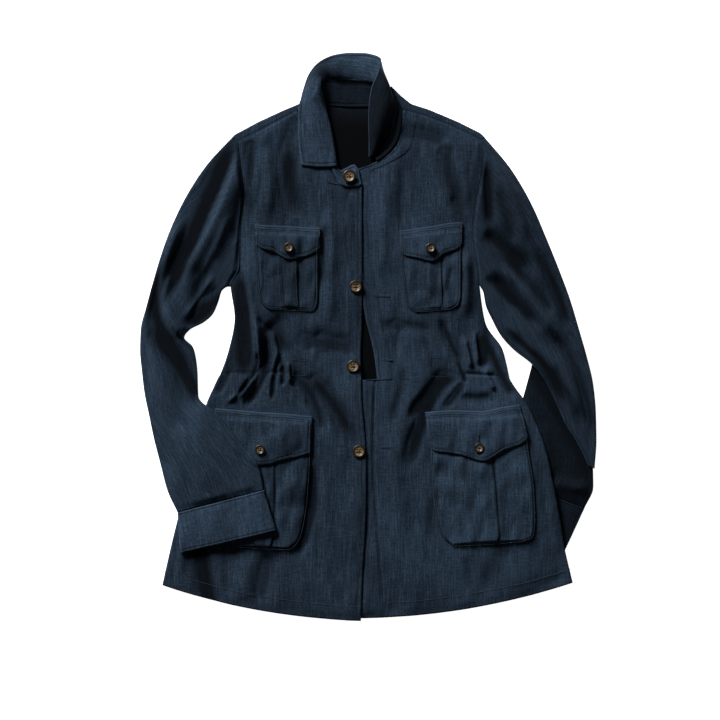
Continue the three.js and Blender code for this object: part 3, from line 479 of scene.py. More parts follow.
# A pocket's painted shade: its middle and width as shares of the pocket's width, and the share of light it
# takes
POCKET_SHADES = {"right_chest_pocket": (0.58, 0.5, 0.45), "right_hip_pocket": (0.98, 0.08, 0.25)}
# Lower left and upper right corner of the casings' sewn ends
CASINGS = [(-116, -61, -95, -37), (96, -61, 121, -33)]
BUTTON_THICK = 3.2
# Both ends of each buttonhole
BUTTONHOLES = [(8, 63, 34, 62), (23, -36, 39, -37), (20, -171, 40, -172), (169, -150, 169, -161)]


# Curves


def smooth(t):
    """Soft step: 3t^2 - 2t^3 for t held between 0 and 1."""
    t = np.clip(t, 0, 1)
    return t * t * (3 - 2 * t)


def bell(value, width):
    """exp(-(value / width)^2)."""
    return np.exp(-((value / width) ** 2))


def along(values, places):
    """Values at fractional places: cubic pieces whose slopes are harmonic means of the steps beside them."""
    values = np.asarray(values, float)
    places = np.asarray(places, float)
    last = len(values) - 1
    k = np.clip(np.floor(places).astype(int), 0, last - 1)
    t = (places - k).reshape((-1,) + (1,) * (values.ndim - 1))
    step = np.diff(values, axis=0)
    before, after = step[:-1], step[1:]
    total = np.where(before + after == 0, 1, before + after)
    middle = np.where(before * after > 0, 2 * before * after / total, 0)
    slope = np.concatenate([step[:1], middle, step[-1:]])
    return (
        (2 * t**3 - 3 * t**2 + 1) * values[k]
        + (t**3 - 2 * t**2 + t) * slope[k]
        + (3 * t**2 - 2 * t**3) * values[k + 1]
        + (t**3 - t**2) * slope[k + 1]
    )


def column(rows, name):
    """The points whose coordinates are two columns of a table."""
    return np.stack([rows[name + "_x"], rows[name + "_y"]], -1)


def spans(a, b, shares, bow):
    """Sections from a to b: a + s (b - a), moved to the right of their way by 4 bow s (1 - s)."""
    way = (b - a)[:, None, :]
    s = shares[None, :, None]
    length = np.linalg.norm(way, axis=-1, keepdims=True)
    right = np.stack([way[..., 1], -way[..., 0]], -1) / length
    return a[:, None, :] + way * s + 4 * np.asarray(bow, float)[:, None, None] * s * (1 - s) * right


def places_for(rows, pitch):
    """Fractional rows that are evenly spaced along the mean way of the sections."""
    steps = np.linalg.norm(np.diff(rows[..., :2], axis=0), axis=-1).mean(axis=1)
    way = np.concatenate([[0], np.cumsum(steps)])
    count = max(2, int(round(way[-1] / pitch)))
    return np.interp(np.linspace(0, way[-1], count + 1), way, np.arange(len(way)))


def relief(folds, xy):
    """Sum of the folds: each is height exp(-(distance from its arc / width)^2), faded at both ends."""
    steps = 14
    total = np.zeros(xy.shape[:-1])
    t = np.linspace(0, 1, steps + 1)[:, None]
    for x0, y0, x1, y1, x2, y2, width, height, lean in folds:
        start, middle, end = np.array([x0, y0]), np.array([x1, y1]), np.array([x2, y2])
        bend = 2 * middle - (start + end) / 2
        line = (1 - t) ** 2 * start + 2 * t * (1 - t) * bend + t**2 * end
        reach = 3.5 * width
        near = ((xy > line.min(0) - reach) & (xy < line.max(0) + reach)).all(-1)
        if not near.any():
            continue
        way = np.diff(line, axis=0)
        gone = xy[near][:, None, :] - line[:-1]
        share = np.clip((gone * way).sum(-1) / (way * way).sum(-1), 0, 1)
        away = np.linalg.norm(gone - share[..., None] * way, axis=-1)
        best = away.argmin(1)
        pick = np.arange(len(best))
        side = np.sign(way[best, 0] * gone[pick, best, 1] - way[best, 1] * gone[pick, best, 0])
        place = (best + share[pick, best]) / steps
        fade = smooth(4 * np.minimum(place, 1 - place))
        total[near] += height * fade * bell(away[pick, best], width * (1 - lean * side))
    return total


# Rasters: fields of heights over the plan, in square cells

CELL = 1.5
HALF_X = 384
HALF_Y = 468
SHAPE = (int(2 * HALF_Y / CELL), int(2 * HALF_X / CELL))


def cell_of(xy):
    """Row and column of the cell that each point is in."""
    v = ((xy[..., 1] + HALF_Y) / CELL).astype(int)
    u = ((xy[..., 0] + HALF_X) / CELL).astype(int)
    return np.clip(v, 0, SHAPE[0] - 1), np.clip(u, 0, SHAPE[1] - 1)


def read(field, xy):
    """Value of a field at each point, linear between the centres of four cells."""
    v = np.clip((xy[..., 1] + HALF_Y) / CELL - 0.5, 0, SHAPE[0] - 1.001)
    u = np.clip((xy[..., 0] + HALF_X) / CELL - 0.5, 0, SHAPE[1] - 1.001)
    i, j = v.astype(int), u.astype(int)
    a, b = v - i, u - j
    low = field[i, j] * (1 - b) + field[i, j + 1] * b
    high = field[i + 1, j] * (1 - b) + field[i + 1, j + 1] * b
    return low * (1 - a) + high * a


def blur(field, sigma):
    """The field smoothed by a bell of that width in mm, by way of its spectrum."""
    f = np.fft.rfftfreq(field.shape[1])[None, :]
    g = np.fft.fftfreq(field.shape[0])[:, None]
    bell = np.exp(-2 * (math.pi * sigma / CELL) ** 2 * (f**2 + g**2))
    return np.fft.irfft2(np.fft.rfft2(field) * bell, s=field.shape)


def widened(field, cells):
    """Each cell takes the highest value within that many cells."""
    for axis in (0, 1):
        field = np.max([np.roll(field, shift, axis) for shift in range(-cells, cells + 1)], axis=0)
    return field


def crumple(seed, across, up):
    """Even random relief of about unit height, in lumps of that width and length in mm."""
    rough = np.random.default_rng(seed).standard_normal(SHAPE)
    f = np.fft.rfftfreq(SHAPE[1])[None, :]
    g = np.fft.fftfreq(SHAPE[0])[:, None]
    bell = np.exp(-2 * (math.pi / CELL) ** 2 * ((across * f) ** 2 + (up * g) ** 2))
    field = np.fft.irfft2(np.fft.rfft2(rough) * bell, s=SHAPE)
    return field / field.std()


WIDE = crumple(2, 20, 45)
BROAD = crumple(3, 11, 20)
MEDIUM = crumple(5, 4.5, 9)


def form(node, sigma, top=True):
    """Smoothed heights of a solid's top or underside: its triangles are sampled into cells, then blurred."""
    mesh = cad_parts[node].data
    mesh.calc_loop_triangles()
    corners = np.empty(len(mesh.vertices) * 3)
    mesh.vertices.foreach_get("co", corners)
    index = np.empty(len(mesh.loop_triangles) * 3, int)
    mesh.loop_triangles.foreach_get("vertices", index)
    triangles = corners.reshape(-1, 3)[index].reshape(-1, 3, 3) / MM
    count = 26
    i, j = np.meshgrid(np.arange(count + 1), np.arange(count + 1))
    kept = i + j <= count
    shares = np.stack([i[kept], j[kept], count - i[kept] - j[kept]], -1) / count
    points = np.einsum("kc,tcx->tkx", shares, triangles).reshape(-1, 3)
    empty = -1e3
    field = np.full(SHAPE, empty)
    sign = 1 if top else -1
    np.maximum.at(field, cell_of(points), sign * points[:, 2])
    there = (field > empty).astype(float)
    heights = np.where(there > 0, sign * field, 0)
    return blur(heights, sigma) / np.maximum(blur(there, sigma), 1e-4)


class Pile:
    """The highest cloth laid so far over each cell."""

    def __init__(self):
        self.top = np.zeros(SHAPE)

    def lay(self, grid):
        """Adds a grid of points, sampled between its lines."""
        for a in (0, 0.34, 0.67):
            for b in (0, 0.34, 0.67):
                low = grid[:-1, :-1] * (1 - b) + grid[:-1, 1:] * b
                high = grid[1:, :-1] * (1 - b) + grid[1:, 1:] * b
                points = low * (1 - a) + high * a
                np.maximum.at(self.top, cell_of(points), points[..., 2])

    def bed(self, xy):
        """The height that clears what lies below: the widened pile, softened but never under the near one."""
        near = widened(self.top, 1)
        soft = blur(widened(self.top, 2), 2.5)
        return read(np.maximum(near, soft), xy) + np.where(read(near, xy) > 0.05, CLEAR, 0)


pile = Pile()


# Meshes


def ways(grid):
    """Length from the first point along the lines (across) and along the columns (up)."""
    across = np.linalg.norm(np.diff(grid, axis=1), axis=-1)
    up = np.linalg.norm(np.diff(grid, axis=0), axis=-1)
    across = np.concatenate([np.zeros((grid.shape[0], 1)), np.cumsum(across, axis=1)], axis=1)
    up = np.concatenate([np.zeros((1, grid.shape[1])), np.cumsum(up, axis=0)], axis=0)
    return across, up


def border(grid, chosen):
    """Distance from the nearest of these sides: a and b are the lines' ends, low and high the outer lines."""
    across, up = ways(grid)
    sides = {"a": across, "b": across[:, -1:] - across, "low": up, "high": up[-1:] - up}
    return np.min([sides[name] for name in chosen], axis=0)


def lifted(plan, z):
    """The plan's points at those heights."""
    return np.concatenate([plan, z[..., None]], -1)


def all_round(over, under):
    """A tube's values: the upper half, then the lower half on the way back without the shared sides."""
    return np.concatenate([over, under[:, 1:-1][:, ::-1]], axis=1)


def quads(lines, columns, closed):
    """Corners of the squares between the lines, joined round where the grid is closed."""
    first = np.arange(columns if closed else columns - 1)
    i, j = np.meshgrid(np.arange(lines - 1), first, indexing="ij")
    after = (j + 1) % columns
    corners = [i * columns + j, i * columns + after, (i + 1) * columns + after, (i + 1) * columns + j]
    return np.stack(corners, -1).reshape(-1, 4)


def placed(name, data):
    """A new object in the scene."""
    made = bpy.data.objects.new(name, data)
    bpy.context.scene.collection.objects.link(made)
    return made


def build(name, parts, closed=False, painted_shade=None):
    """One mesh from grids of points in mm with their pattern coordinates and distances from a stitched edge.

    Where given, the last argument is painted shade: the share of each point's light that is taken out of its
    colour.
    """
    points, faces, marks, edges = [], [], [], []
    start = 0
    for grid, mark, edge in parts:
        lines, columns = grid.shape[:2]
        square = quads(lines, columns, closed)
        corner = grid.reshape(-1, 3)
        a, b, c = (corner[square[:, k]] for k in (0, 1, 3))
        normal = np.cross(b - a, c - a)
        centre = corner.mean(0)
        facing = (normal * (a - centre)).sum() if closed else normal[:, 2].sum()
        if facing < 0:
            square = square[:, ::-1]
        points.append(corner * MM)
        faces.append(square + start)
        marks.append(mark.reshape(-1, 2) * MM)
        edges.append(edge.reshape(-1) * MM)
        start += len(corner)
    mesh = bpy.data.meshes.new(name)
    mesh.from_pydata(np.concatenate(points).tolist(), [], np.concatenate(faces).tolist())
    mesh.polygons.foreach_set("use_smooth", np.ones(len(mesh.polygons), bool))
    index = np.empty(len(mesh.loops), int)
    mesh.loops.foreach_get("vertex_index", index)
    mesh.uv_layers.new(name="cloth").data.foreach_set("uv", np.concatenate(marks)[index].ravel())
    mesh.attributes.new("edge", "FLOAT", "POINT").data.foreach_set("value", np.concatenate(edges))
    # Painted shade, kept on each point for the finishes
    shade = np.zeros(start) if painted_shade is None else np.concatenate([np.ravel(part) for part in painted_shade])
    mesh.attributes.new("painted_shade", "FLOAT", "POINT").data.foreach_set("value", shade)
    mesh.update()
    return placed(name, mesh)


def marks_of(grid):
    """Pattern coordinates of a grid: mm across from the middle column, and mm up."""
    across, up = ways(grid)
    return np.stack([across - across[:, -1:] / 2, up], -1)


def finish(piece, material, node, thick, offset=-1.0):
    """Gives a piece its thickness in mm, its finish and its body, and hides the solid that it stands for."""
    if thick:
        wall = piece.modifiers.new("thickness", "SOLIDIFY")
        wall.thickness = thick * MM
        wall.offset = offset
    piece.data.materials.append(material)
    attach(piece, "root")
    if node:
        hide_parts(node)


def declare(grids, layers, rests_on):
    """Works out the sheet's cut: its widest line and longest column, and the plan area of its grids, and
    keeps none of them.
    """
    across, up = ways(grids[0][..., :2])
    width, length = across[:, -1].max() * layers * MM, up[-1].max() * MM
    area = 0.0
    for grid in grids:
        flat = grid[..., :2]
        a, b = flat[1:, 1:] - flat[:-1, :-1], flat[1:, :-1] - flat[:-1, 1:]
        area += np.abs(a[..., 0] * b[..., 1] - a[..., 1] * b[..., 0]).sum() / 2
    area = min(area * layers * MM**2, width * length)


def draped(xy, node, folds, props):
    """Upper heights of a panel: its solid's form, its folds and its crumple, but always clear of the pile."""
    inner = 0.25 + 0.75 * smooth(border(xy, ALL_SIDES) / 14)
    z = read(form(node, sigma=11), xy) + props.folds * relief(folds, xy) * inner
    lumps = 0.8 + 0.9 * read(WIDE, xy) + 0.7 * read(BROAD, xy) + 0.2 * read(MEDIUM, xy)
    return np.maximum(z + props.crumple * inner * lumps, pile.bed(xy) + WALL)


def shade_of(folds, xy):
    """Painted shade in the troughs: the share of the light that their colour loses."""
    troughs = [fold for fold in folds if fold[7] < 0]
    return np.clip(-TROUGH_SHADE * relief(troughs, xy), 0, 0.85)


def casing_shade(xy):
    """Painted shade on the sewn ends of the waist's casings: a little within, and dark on their outline."""
    total = np.zeros(xy.shape[:2])
    for low_x, low_y, high_x, high_y in CASINGS:
        out_x = np.maximum(low_x - xy[..., 0], xy[..., 0] - high_x)
        out_y = np.maximum(low_y - xy[..., 1], xy[..., 1] - high_y)
        out = np.maximum(out_x, out_y)
        total += 0.22 * smooth(-out / 2) + 0.5 * bell(out, 1.4)
    return total


# Shader maths


class Wire:
    """An output of a material's node; Python's operators on it add Math nodes."""

    def __init__(self, graph, socket):
        self.graph = graph
        self.socket = socket

    def math(self, operation, *others, swapped=False):
        values = [self, *others]
        if swapped:
            values.reverse()
        return self.graph.node("ShaderNodeMath", {"operation": operation}, dict(enumerate(values)))

    def __add__(self, other):
        return self.math("ADD", other)

    def __sub__(self, other):
        return self.math("SUBTRACT", other)

    def __rsub__(self, other):
        return self.math("SUBTRACT", other, swapped=True)

    def __mul__(self, other):
        return self.math("MULTIPLY", other)

    def __truediv__(self, other):
        return self.math("DIVIDE", other)

    def __neg__(self):
        return self.math("MULTIPLY", -1.0)

    __radd__ = __add__
    __rmul__ = __mul__

    def bell(self, centre, width):
        """exp(-((value - centre) / width)^2)."""
        away = (self - centre) / width
        return (-(away * away)).math("EXPONENT")

    def step(self, low, high):
        """Soft step from 0 at low to 1 at high."""
        settings = {"interpolation_type": "SMOOTHSTEP"}
        values = {"Value": self, "From Min": low, "From Max": high, "To Min": 0.0, "To Max": 1.0}
        return self.graph.node("ShaderNodeMapRange", settings, values)


class Graph:
    """A new material and its one way of adding nodes."""

    def __init__(self, name):
        self.material = bpy.data.materials.new(name)
        self.material.use_nodes = True
        self.tree = self.material.node_tree
        self.shader = self.tree.nodes["Principled BSDF"]

    def node(self, kind, settings=None, values=None, out=0):
        made = self.tree.nodes.new(kind)
        for key, value in (settings or {}).items():
            setattr(made, key, value)
        for key, value in (values or {}).items():
            self.put(made, key, value)
        return Wire(self, made.outputs[out])

    def put(self, node, key, value):
        if isinstance(value, Wire):
            self.tree.links.new(value.socket, node.inputs[key])
        else:
            node.inputs[key].default_value = value

    def attribute(self, name):
        """A point attribute of the mesh, as a number."""
        return self.node("ShaderNodeAttribute", {"attribute_name": name}, out=2)

    def place(self):
        """The point's place on the piece, in metres."""
        return self.node("ShaderNodeTexCoord", out=3)

    def noise(self, vector, scale, detail=2.0, rough=0.5):
        values = {"Vector": vector, "Scale": scale, "Detail": detail, "Roughness": rough}
        return self.node("ShaderNodeTexNoise", {"noise_dimensions": "3D"}, values)

    def stretched(self, vector, by):
        return self.node("ShaderNodeVectorMath", {"operation": "MULTIPLY"}, {0: vector, 1: by})

    def blend(self, share, a, b):
        """Colour a where share is 0 and b where it is 1."""
        return self.node("ShaderNodeMix", {"data_type": "RGBA"}, {0: share, 6: a, 7: b}, out=2)

    def shade(self, **values):
        for key, value in values.items():
            self.put(self.shader, key.replace("_", " "), value)

    def bump(self, height, distance, strength):
        values = {"Height": height, "Distance": distance, "Strength": strength}
        self.put(self.shader, "Normal", self.node("ShaderNodeBump", None, values))


def tinted(colour, by):
    """The colour made lighter or darker."""
    return tuple(min(1.0, channel * by) for channel in colour[:3]) + (1.0,)


def linen(name, dye, stitch_in, rim=0.2):
    """Slubby plain weave: uneven threads both ways, soft clouds of dye, and a stitched groove by its edges.

    The tone at the very edge is raised by rim, as wear and as a painted highlight, and lowered as painted
    shade where rim is below 0; the groove lies stitch_in metres from it and is painted darker as shade.
    """
    found = bpy.data.materials.get(name)
    if found:
        return found
    props = bpy.context.scene.jacket_linen
    graph = Graph(name)
    mark = graph.node("ShaderNodeUVMap", {"uv_map": "cloth"})
    place = graph.place()
    edge = graph.attribute("edge")
    painted_shade = graph.attribute("painted_shade")
    warp = graph.noise(graph.stretched(mark, (450.0, 26.0, 1.0)), scale=1.0, detail=3.0, rough=0.65)
    weft = graph.noise(graph.stretched(mark, (60.0, 640.0, 1.0)), scale=1.0, detail=2.0, rough=0.55)
    fine = graph.noise(graph.stretched(mark, (1500.0, 180.0, 1.0)), scale=1.0, detail=2.0, rough=0.6)
    cloud = graph.noise(place, scale=7.0, detail=3.0, rough=0.55)
    slub = warp.step(0.56, 0.72) * props.slub + weft.step(0.6, 0.76) * props.slub * 0.5
    groove = edge.bell(stitch_in, 0.0011)
    edge_wear_and_light = edge.step(0.0022, 0.0)
    tone = (warp - 0.5) * 1.6 + (weft - 0.5) * 1.0 + (fine - 0.5) * 1.8 + (cloud - 0.5) * 1.0 + 0.48
    # Wear with painted light at the very edge, painted shade there where rim is below 0, and painted shade in
    # the stitched groove
    tone = tone + slub * 0.55 + edge_wear_and_light * rim - groove * 0.45
    colour = graph.blend(tone.step(-0.1, 1.2), tinted(dye, 0.5), tinted(dye, 1.75))
    # Painted shade: the colour is drawn to near black by the painted shade share
    colour = graph.blend(painted_shade, colour, tinted(dye, 0.04))
    graph.shade(
        Base_Color=colour,
        Roughness=0.95 - slub * 0.15,
        Specular_IOR_Level=props.shine,
        Sheen_Weight=props.sheen,
        Sheen_Roughness=0.45,
        Sheen_Tint=(0.5, 0.65, 0.9, 1.0),
    )
    height = warp * 0.6 + weft * 0.4 + fine * 0.5 + slub * 0.7 - groove * 1.6
    graph.bump(height, distance=0.0005, strength=props.weave)
    return graph.material


def thread_finish():
    """Navy sewing thread, a little lighter than the cloth, with a twist across it."""
    found = bpy.data.materials.get("sewing_thread")
    if found:
        return found
    graph = Graph("sewing_thread")
    twist = graph.noise(graph.place(), scale=1400.0, detail=1.0)
    colour = tuple(bpy.context.scene.jacket_stitching.colour)
    graph.shade(Base_Color=graph.blend(twist, tinted(colour, 0.7), tinted(colour, 1.3)), Roughness=0.8)
    return graph.material


def horn_finish():
    """Brown horn: streaks of tan and near black across it, darker to the rim, with painted shade in the
    holes, under a satin polish.
    """
    found = bpy.data.materials.get("button_horn")
    if found:
        return found
    props = bpy.context.scene.jacket_buttons
    graph = Graph("button_horn")
    place = graph.place()
    edge = graph.attribute("edge")
    streak = graph.noise(graph.stretched(place, (90.0, 420.0, 1.0)), scale=1.0, detail=3.0, rough=0.6)
    cloud = graph.noise(place, scale=160.0)
    share = (streak * 0.7 + cloud * 0.5).step(0.35, 0.8)
    middle = graph.blend(share, tuple(props.dark), tuple(props.light))
    colour = graph.blend(edge.step(0.0018, 0.0038), tinted(props.dark, 0.8), middle)
    # Painted shade in the button's holes
    hole = graph.attribute("painted_shade")
    colour = graph.blend(hole, colour, tinted(props.dark, 0.2))
    graph.shade(Base_Color=colour, Roughness=0.3 + streak * 0.2, Specular_IOR_Level=0.5)
    graph.bump(streak, distance=0.00015, strength=0.4)
    return graph.material


# The body


def top_height(x):
    """Height of the back's top line at x."""
    return np.interp(x, TOP_LINE["x"], TOP_LINE["y"])


def back_grid(pitch):
    """Plan of the back: sections from side to side whose upper rows rise to the top line."""
    shares = np.linspace(0, 1, int(round(640 / pitch)) + 1)
    a = np.vstack([column(BODY, "right"), RIGHT_TIP])
    b = np.vstack([column(BODY, "left"), LEFT_TIP])
    rows = spans(a, b, shares, np.append(BODY["sag_back"], 0))
    tip = rows[-1].copy()
    lift = np.clip((np.arange(len(rows)) - (len(rows) - 5)) / 4, 0, None)
    rows[..., 1] += lift[:, None] * (top_height(tip[:, 0]) - tip[:, 1])
    return along(rows, places_for(rows, pitch))


def front_rows(side, count):
    """Sections of a front from its side seam to its edge."""
    bow = BODY["sag_right"] if side == "right" else -BODY["sag_left"]
    return spans(column(BODY, side), column(BODY, side + "_edge"), np.linspace(0, 1, count), bow)


def shoulder_grid(side):
    """A shoulder turned over to the front: flat from the seam, then round the fold in a half circle.

    With r half the fold's height and t 0 to pi, the fold lies r sin t past the flat part, r + r cos t high.
    """
    if side == "right":
        start, end = column(BODY, "right")[-1], column(BODY, "right_edge")[-1]
        first, last, bow = RIGHT_TIP[0], RIGHT_NECK_X, 0
    else:
        start, end = column(BODY, "left_edge")[-1], column(BODY, "left")[-1]
        first, last, bow = LEFT_NECK_X, LEFT_TIP[0], BODY["sag_left"][-1]
    shares = np.linspace(0, 1, 60)
    x = first + (last - first) * shares
    edge = np.stack([x, top_height(x)], -1)
    seam = spans(start[None], end[None], shares, [bow])[0]
    way = edge - seam
    length = np.linalg.norm(way, axis=-1)[:, None]
    way = way / np.maximum(length, 1e-6)
    radius = SHOULDER_FOLD / 2
    flat = np.linspace(0, 1, FLAT_LINES)[:, None, None]
    plane = seam + way * 0.3 + way * flat * np.maximum(length - radius - 0.6, 0.2)
    level = np.full(plane.shape[:2], SHOULDER_FOLD)
    turn = np.linspace(0, math.pi, 9)[1:, None, None]
    rolled = plane[-1] + way * radius * np.sin(turn)
    fall = np.broadcast_to(radius + radius * np.cos(turn[..., 0]), rolled.shape[:2])
    return np.concatenate([lifted(plane, level), lifted(rolled, fall)])


class JACKET_OT_back(bpy.types.Operator):
    """Makes the back, with both shoulders turned over"""

    bl_idname = "jacket.back"
    bl_label = "Back"

    def execute(self, context):
        props = context.scene.jacket_linen
        plan = back_grid(pitch=5.0)
        z = read(form("back", sigma=8), plan) - 0.2
        z = z + relief(BACK_FOLDS, plan) * smooth(border(plan, ALL_SIDES) / 24)
        z = np.maximum(z, pile.bed(plan) + WALL)
        grids = [lifted(plan, z), shoulder_grid("right"), shoulder_grid("left")]
        for grid in grids[1:]:
            wave = 0.5 * read(BROAD, grid[:FLAT_LINES, :, :2])
            grid[:FLAT_LINES, :, 2] += np.clip(wave + 0.2, 0, 1.2)
        edges = [np.full(plan.shape[:2], UNSTITCHED), *(border(grid, ["low"]) for grid in grids[1:])]
        parts = [(grid, grid[..., :2], edge) for grid, edge in zip(grids, edges)]
        painted_shade = [np.zeros(grid.shape[:2]) for grid in grids]
        # Painted shade on the back's inner face, full low down and fading towards the top
        painted_shade[0] = 1 - smooth((plan[..., 1] - BACK_SHADE_FULL_BELOW) / (BACK_SHADE_GONE_ABOVE - BACK_SHADE_FULL_BELOW))
        piece = build("back_cloth", parts, painted_shade=painted_shade)
        finish(piece, linen("linen_body", props.dye, EDGE_STITCH), "back", props.thickness / MM)
        declare(grids, 1, ["left_forearm_cloth"])
        for grid in grids:
            pile.lay(grid)
        return {"FINISHED"}


class JACKET_OT_fronts(bpy.types.Operator):
    """Makes both front panels, the buttoned one over the other"""

    bl_idname = "jacket.fronts"
    bl_label = "Fronts"

    def execute(self, context):
        props = context.scene.jacket_linen
        for side, folds in (("left", LEFT_FRONT_FOLDS), ("right", RIGHT_FRONT_FOLDS)):
            name = side + "_front"
            rows = front_rows(side, 124)
            plan = along(rows, places_for(rows, pitch=2.6))
            z = draped(plan, name, folds, props)
            rim = border(plan, ["b"])
            z += PLACKET_RISE * smooth(rim / 1.5) * (1 - smooth((rim - PLACKET) / 3))
            # The side is drawn out and down, so that it closes on the back
            out = plan[:, 0] - plan[:, 1]
            plan[:, 0] += SIDE_DRAW * out / np.linalg.norm(out, axis=-1, keepdims=True)
            z[:, 0] -= SIDE_DRAW
            grid = lifted(plan, z)
            parts = [(grid, plan, border(plan, ["b"]))]
            # Painted shade in the troughs and on the casings' sewn ends
            shade = np.clip(shade_of(folds, plan) + casing_shade(plan), 0, MOST_SHADE)
            piece = build(name + "_cloth", parts, painted_shade=[shade])
            finish(piece, linen("linen_front", props.dye, stitch_in=0.0065), name, props.thickness / MM)
            declare([grid], 1, ["back_cloth"])
            pile.lay(grid)
        return {"FINISHED"}


# Sleeves


def armhole(name, tip, side, shares):
    """The armhole from the shoulder's tip down to the armpit, beside the body's edge."""
    edge = np.vstack([column(BODY, name), tip])
    top = len(edge) - 1
    rows = top + (ARMPIT_ROW - top) * shares
    points = along(edge, rows)
    way = np.gradient(points, axis=0)
    way /= np.linalg.norm(way, axis=-1, keepdims=True)
    return points + side * SEAM * np.stack([-way[:, 1], way[:, 0]], -1)


def tube_piece(name, rows, pitch, folds, stitched, rests_on, shade_all_over=0.0):
    """A tube laid flat: an upper and a lower half between the same sides, which close in a round edge.

    With d the way in from a side and r TUBE_EDGE, each half stands off the middle by its height times
    sqrt(1 - (1 - d / r)^2). The painted shade all over is the share of the light that its colour loses
    everywhere. The upper half comes back.
    """
    props = bpy.context.scene.jacket_linen
    cuff = name.endswith("cuff")
    thick, sigma = (CUFF_WALL, 5) if cuff else (WALL, 10)
    plan = along(rows, places_for(rows, pitch))
    top = read(form(name, sigma), plan)
    low = read(form(name, sigma, top=False), plan)
    across, up = ways(plan)
    side = np.minimum(across, across[:, -1:] - across)
    inner = smooth(side / 16)
    top = top + props.folds * relief(folds, plan) * (0.2 + 0.8 * inner)
    top = top + props.crumple * inner * (0.5 + 0.7 * read(WIDE, plan) + 0.6 * read(BROAD, plan))
    sewn = smooth((up - 3) / 9) if name.endswith("sleeve") else np.ones(up.shape)
    top = np.where(sewn < 1, pile.bed(plan[:1]) * (1 - sewn) + top * sewn, top)
    low = np.maximum(low, pile.bed(plan) * sewn)
    top = np.maximum(top, low + 2 * thick + 0.8)
    if name in ("right_sleeve", "left_forearm"):
        ease = smooth((up[-1:] - up) / 12)
    else:
        ease = smooth(up / 12) if cuff else 1
    top = (low + CUFF_HEIGHT) * (1 - ease) + top * ease
    middle = (top + low) / 2
    roundness = np.sqrt(1 - (1 - np.clip(side / TUBE_EDGE, 0, 1)) ** 2)
    over = lifted(plan, middle + (top - middle) * roundness)
    grid = all_round(over, lifted(plan, middle - (middle - low) * roundness))
    marks, edges = marks_of(plan), border(plan, stitched)
    # Painted shade in the troughs, and painted shade all over the piece
    painted_shade = np.clip(shade_of(folds, plan) + shade_all_over, 0, MOST_SHADE)
    parts = [(grid, all_round(marks, marks), all_round(edges, edges))]
    piece = build(name + "_cloth", parts, closed=True, painted_shade=[all_round(painted_shade, painted_shade)])
    if cuff:
        # Cuffs take the lighter dye, as painted light
        cloth, slot = linen("linen_cuff", tinted(props.dye, props.pale), EDGE_STITCH), "linen_trim"
    else:
        cloth, slot = linen("linen_sleeve", props.dye, EDGE_STITCH), "linen"
    finish(piece, cloth, name, thick)
    declare([over], 2, rests_on)
    return over


def sleeve_shares(count):
    """Shares across a sleeve, drawn to both sides."""
    even = np.linspace(0, 1, count)
    return 0.45 * even + 0.55 * (1 - np.cos(math.pi * even)) / 2


def sleeve_rows(rows, shares, side):
    """The sections of a tube."""
    return spans(column(rows, "outer"), column(rows, "inner"), shares, side * rows["bow"])


class JACKET_OT_tucked_forearm(bpy.types.Operator):
    """Makes the forearm and cuff that are folded back and lie under the body"""

    bl_idname = "jacket.tucked_forearm"
    bl_label = "Tucked forearm"

    def execute(self, context):
        shares = sleeve_shares(48)
        forearm = sleeve_rows(LEFT_FOREARM, shares, 1)
        cuff = sleeve_rows(LEFT_CUFF, shares, 1)
        # The forearm and cuff under the body take heavy painted shade all over
        tops = [
            tube_piece("left_forearm", forearm, 3.5, LEFT_FOREARM_FOLDS, ["high"], ["floor"], shade_all_over=0.78),
            tube_piece("left_cuff", cuff, 2.5, [], ["low", "high"], ["floor"], shade_all_over=0.82),
        ]
        for top in tops:
            pile.lay(top)
        return {"FINISHED"}


class JACKET_OT_left_sleeve(bpy.types.Operator):
    """Makes the upper stretch of the left sleeve, down to its fold at the elbow"""

    bl_idname = "jacket.left_sleeve"
    bl_label = "Left sleeve"

    def execute(self, context):
        shares = sleeve_shares(60)
        mouth = armhole("left", LEFT_TIP, 1, shares)
        rows = np.concatenate([mouth[None], sleeve_rows(LEFT_SLEEVE, shares, 1)])
        rests_on = ["left_forearm_cloth"]
        # This sleeve takes some painted shade all over
        pile.lay(tube_piece("left_sleeve", rows, 3, LEFT_SLEEVE_FOLDS, ["low", "b"], rests_on, shade_all_over=0.22))
        return {"FINISHED"}


class JACKET_OT_right_sleeve(bpy.types.Operator):
    """Makes the right sleeve, bent at the elbow, and its cuff over the skirt"""

    bl_idname = "jacket.right_sleeve"
    bl_label = "Right sleeve"

    def execute(self, context):
        shares = sleeve_shares(64)
        mouth = armhole("right", RIGHT_TIP, -1, shares)
        rows = np.concatenate([mouth[None], sleeve_rows(RIGHT_SLEEVE, shares, -1)])
        cuff = sleeve_rows(RIGHT_CUFF, shares, -1)
        rests_on = ["right_front_cloth", "right_hip_pocket_cloth"]
        # The sleeve takes a little painted shade all over
        tops = [
            tube_piece("right_sleeve", rows, 3, RIGHT_SLEEVE_FOLDS, ["low"], rests_on, shade_all_over=0.04),
            tube_piece("right_cuff", cuff, 2, [], ["low", "high"], rests_on),
        ]
        for top in tops:
            pile.lay(top)
        return {"FINISHED"}


# Pockets and flaps


